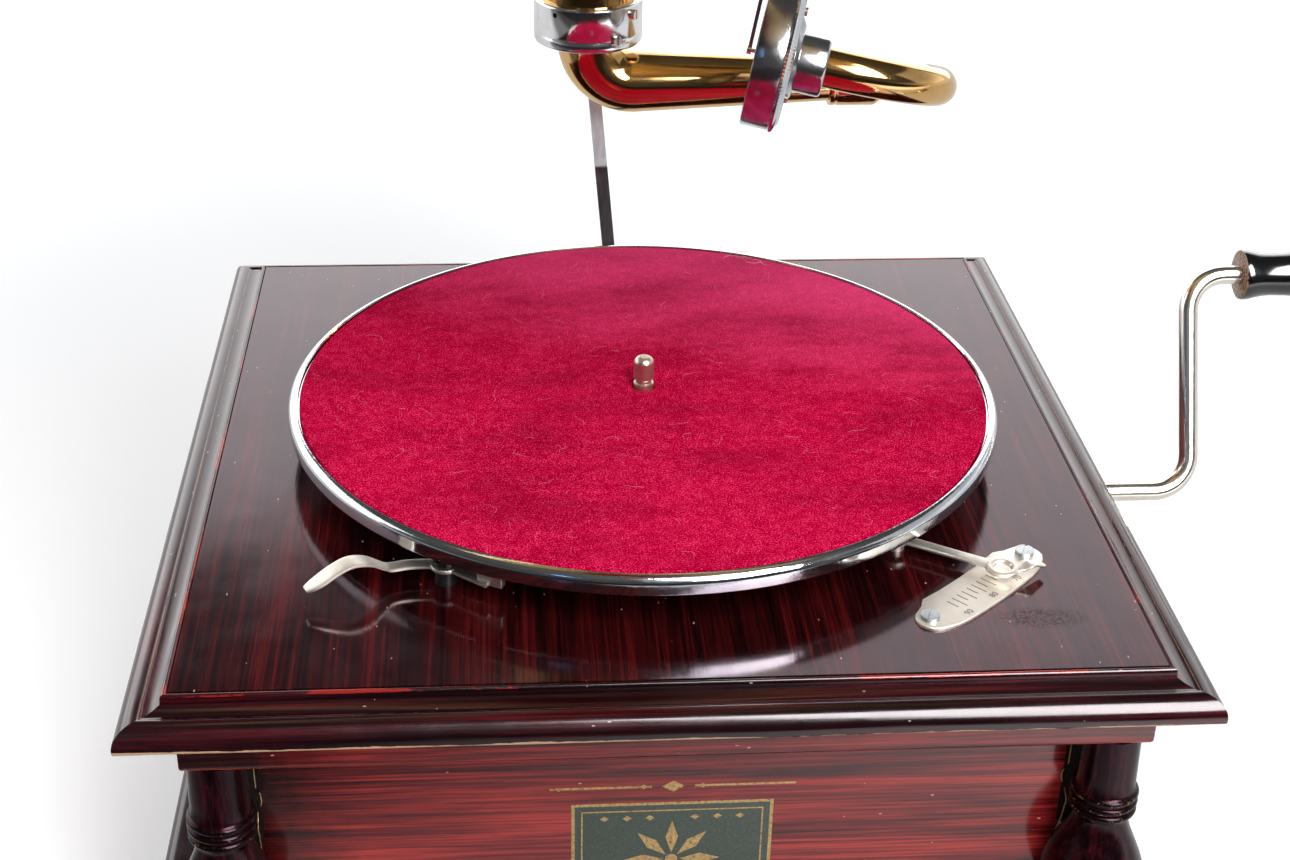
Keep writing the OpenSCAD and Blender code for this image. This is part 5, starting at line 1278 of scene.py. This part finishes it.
def white_paper():
    """White paper sweep: matt and lit, with a glow of its own. In reflections it is graded from the floor's
    left to its right, and dark near the camera, as the photograph's metal shows it."""
    finish, tree, spot = new_finish("white_paper_floor")
    ray = add(tree, "LightPath").node.outputs
    place = add(tree, "SeparateXYZ", spot).node.outputs
    seen = add(tree, "Math", ray["Is Camera Ray"], ray["Is Transmission Ray"], operation="MAXIMUM")
    glow = add(tree, "Emission", Color="#ffffff",
               Strength=add(tree, "Math", seen, 0.33, operation="MULTIPLY"))
    sheet = add(tree, "AddShader", add(tree, "BsdfDiffuse", Color="#e9e9ea"), glow)
    near_front = add(tree, "MapRange", place["Y"], -0.30, -0.20, 1.0, 0.0)
    sideways = add(tree, "MapRange", place["X"], -0.14, 0.20, 0.06, 2.0)
    beside = add(tree, "MapRange", place["X"], -0.34, -0.18, 0.20, 0.79)
    behind = add(tree, "MapRange", place["Y"], 0.0, 0.12, 0.0, 1.0)
    under_camera = add(tree, "MapRange", place["Y"], -0.58, -0.47, 1.0, 0.0)
    mirrored = add(tree, "MixRGB", behind, beside, "#e6e6e6")
    mirrored = add(tree, "MixRGB", near_front, mirrored, sideways)
    mirrored = add(tree, "MixRGB", under_camera, mirrored, "#22262e")
    mirrored = add(tree, "Emission", Color="#ffffff", Strength=mirrored)
    add(tree, "OutputMaterial", add(tree, "MixShader", ray["Is Glossy Ray"], sheet, mirrored))
    return finish


floor_form.materials.append(white_paper())

world = bpy.data.worlds.new("white_studio")
scene.world = world
world.use_nodes = True
tree = world.node_tree
tree.nodes.clear()
heading = add(tree, "SeparateXYZ", add(tree, "TexCoord").node.outputs["Generated"]).node.outputs
leaning = add(tree, "Math", heading["Y"], 0.35, operation="MULTIPLY")
leaning = add(tree, "Math", heading["Z"], leaning, operation="SUBTRACT")
walls = add(tree, "ValToRGB", leaning, stops=[(0.0, "#ffffff"), (0.14, "#b4b4b6"), (0.30, "#4a4b4f"),
                                              (0.55, "#474644"), (1.0, "#5c5a56")])
ray = add(tree, "LightPath").node.outputs
mirror = add(tree, "Math", ray["Is Glossy Ray"], ray["Is Transmission Ray"], operation="MAXIMUM")
shown = add(tree, "MixRGB", mirror, "#c8ccd2", walls)
shown = add(tree, "MixRGB", ray["Is Camera Ray"], shown, "#ffffff")
power = add(tree, "Math", mirror, ray["Is Camera Ray"], operation="MAXIMUM")
power = add(tree, "Math", power, 0.68, operation="MULTIPLY")
power = add(tree, "Math", power, 0.32, operation="ADD")
add(tree, "OutputWorld", add(tree, "Background", Color=shown, Strength=power))


def softbox(name, spot, aim, size, watts, colour="#ffffff", lights=True, mirrored=True):
    """Large soft studio lamp that faces a point; sizes and places in metres.
    lights: it lights surfaces. mirrored: glossy surfaces show it."""
    lamp = bpy.data.lights.new(name, "AREA")
    lamp.shape = "RECTANGLE"
    lamp.size, lamp.size_y = size
    lamp.energy = watts
    lamp.color = paint(colour)[:3]
    holder = bpy.data.objects.new(name, lamp)
    facing = (Vector(aim) - Vector(spot)).to_track_quat("-Z", "Y").to_matrix().to_4x4()
    holder.matrix_world = Matrix.Translation(spot) @ facing
    holder.visible_camera = False
    holder.visible_diffuse = lights
    holder.visible_glossy = mirrored
    scene.collection.objects.link(holder)


TURNTABLE = (0, 0, 0.2)
softbox("back_wall_right", (1.035, 2.1, 1.1), (1.035, 0, 1.1), (2.03, 1.7), 21)
softbox("back_wall_left", (-0.79, 2.1, 0.895), (-0.79, 0, 0.895), (1.62, 1.29), 13)
softbox("softbox_left", (-1.6, 0.75, 0.9), TURNTABLE, (2.0, 1.3), 16)
softbox("softbox_right", (1.8, 0.3, 1.0), TURNTABLE, (2.0, 1.2), 4)
softbox("key_front_right", (0.72, -1.80, 1.92), TURNTABLE, (0.56, 2.2), 60, mirrored=False)
softbox("key_front_right_glare", (0.95, -1.69, 1.92), TURNTABLE, (1.22, 2.2), 185, lights=False)
softbox("fill_over_camera", (0.06, -1.5, 1.5), TURNTABLE, (0.36, 1.5), 0.45)
softbox("window_front_left", (-0.75, -1.45, 0.95), TURNTABLE, (0.16, 0.30), 0.25, "#7fb4f0")
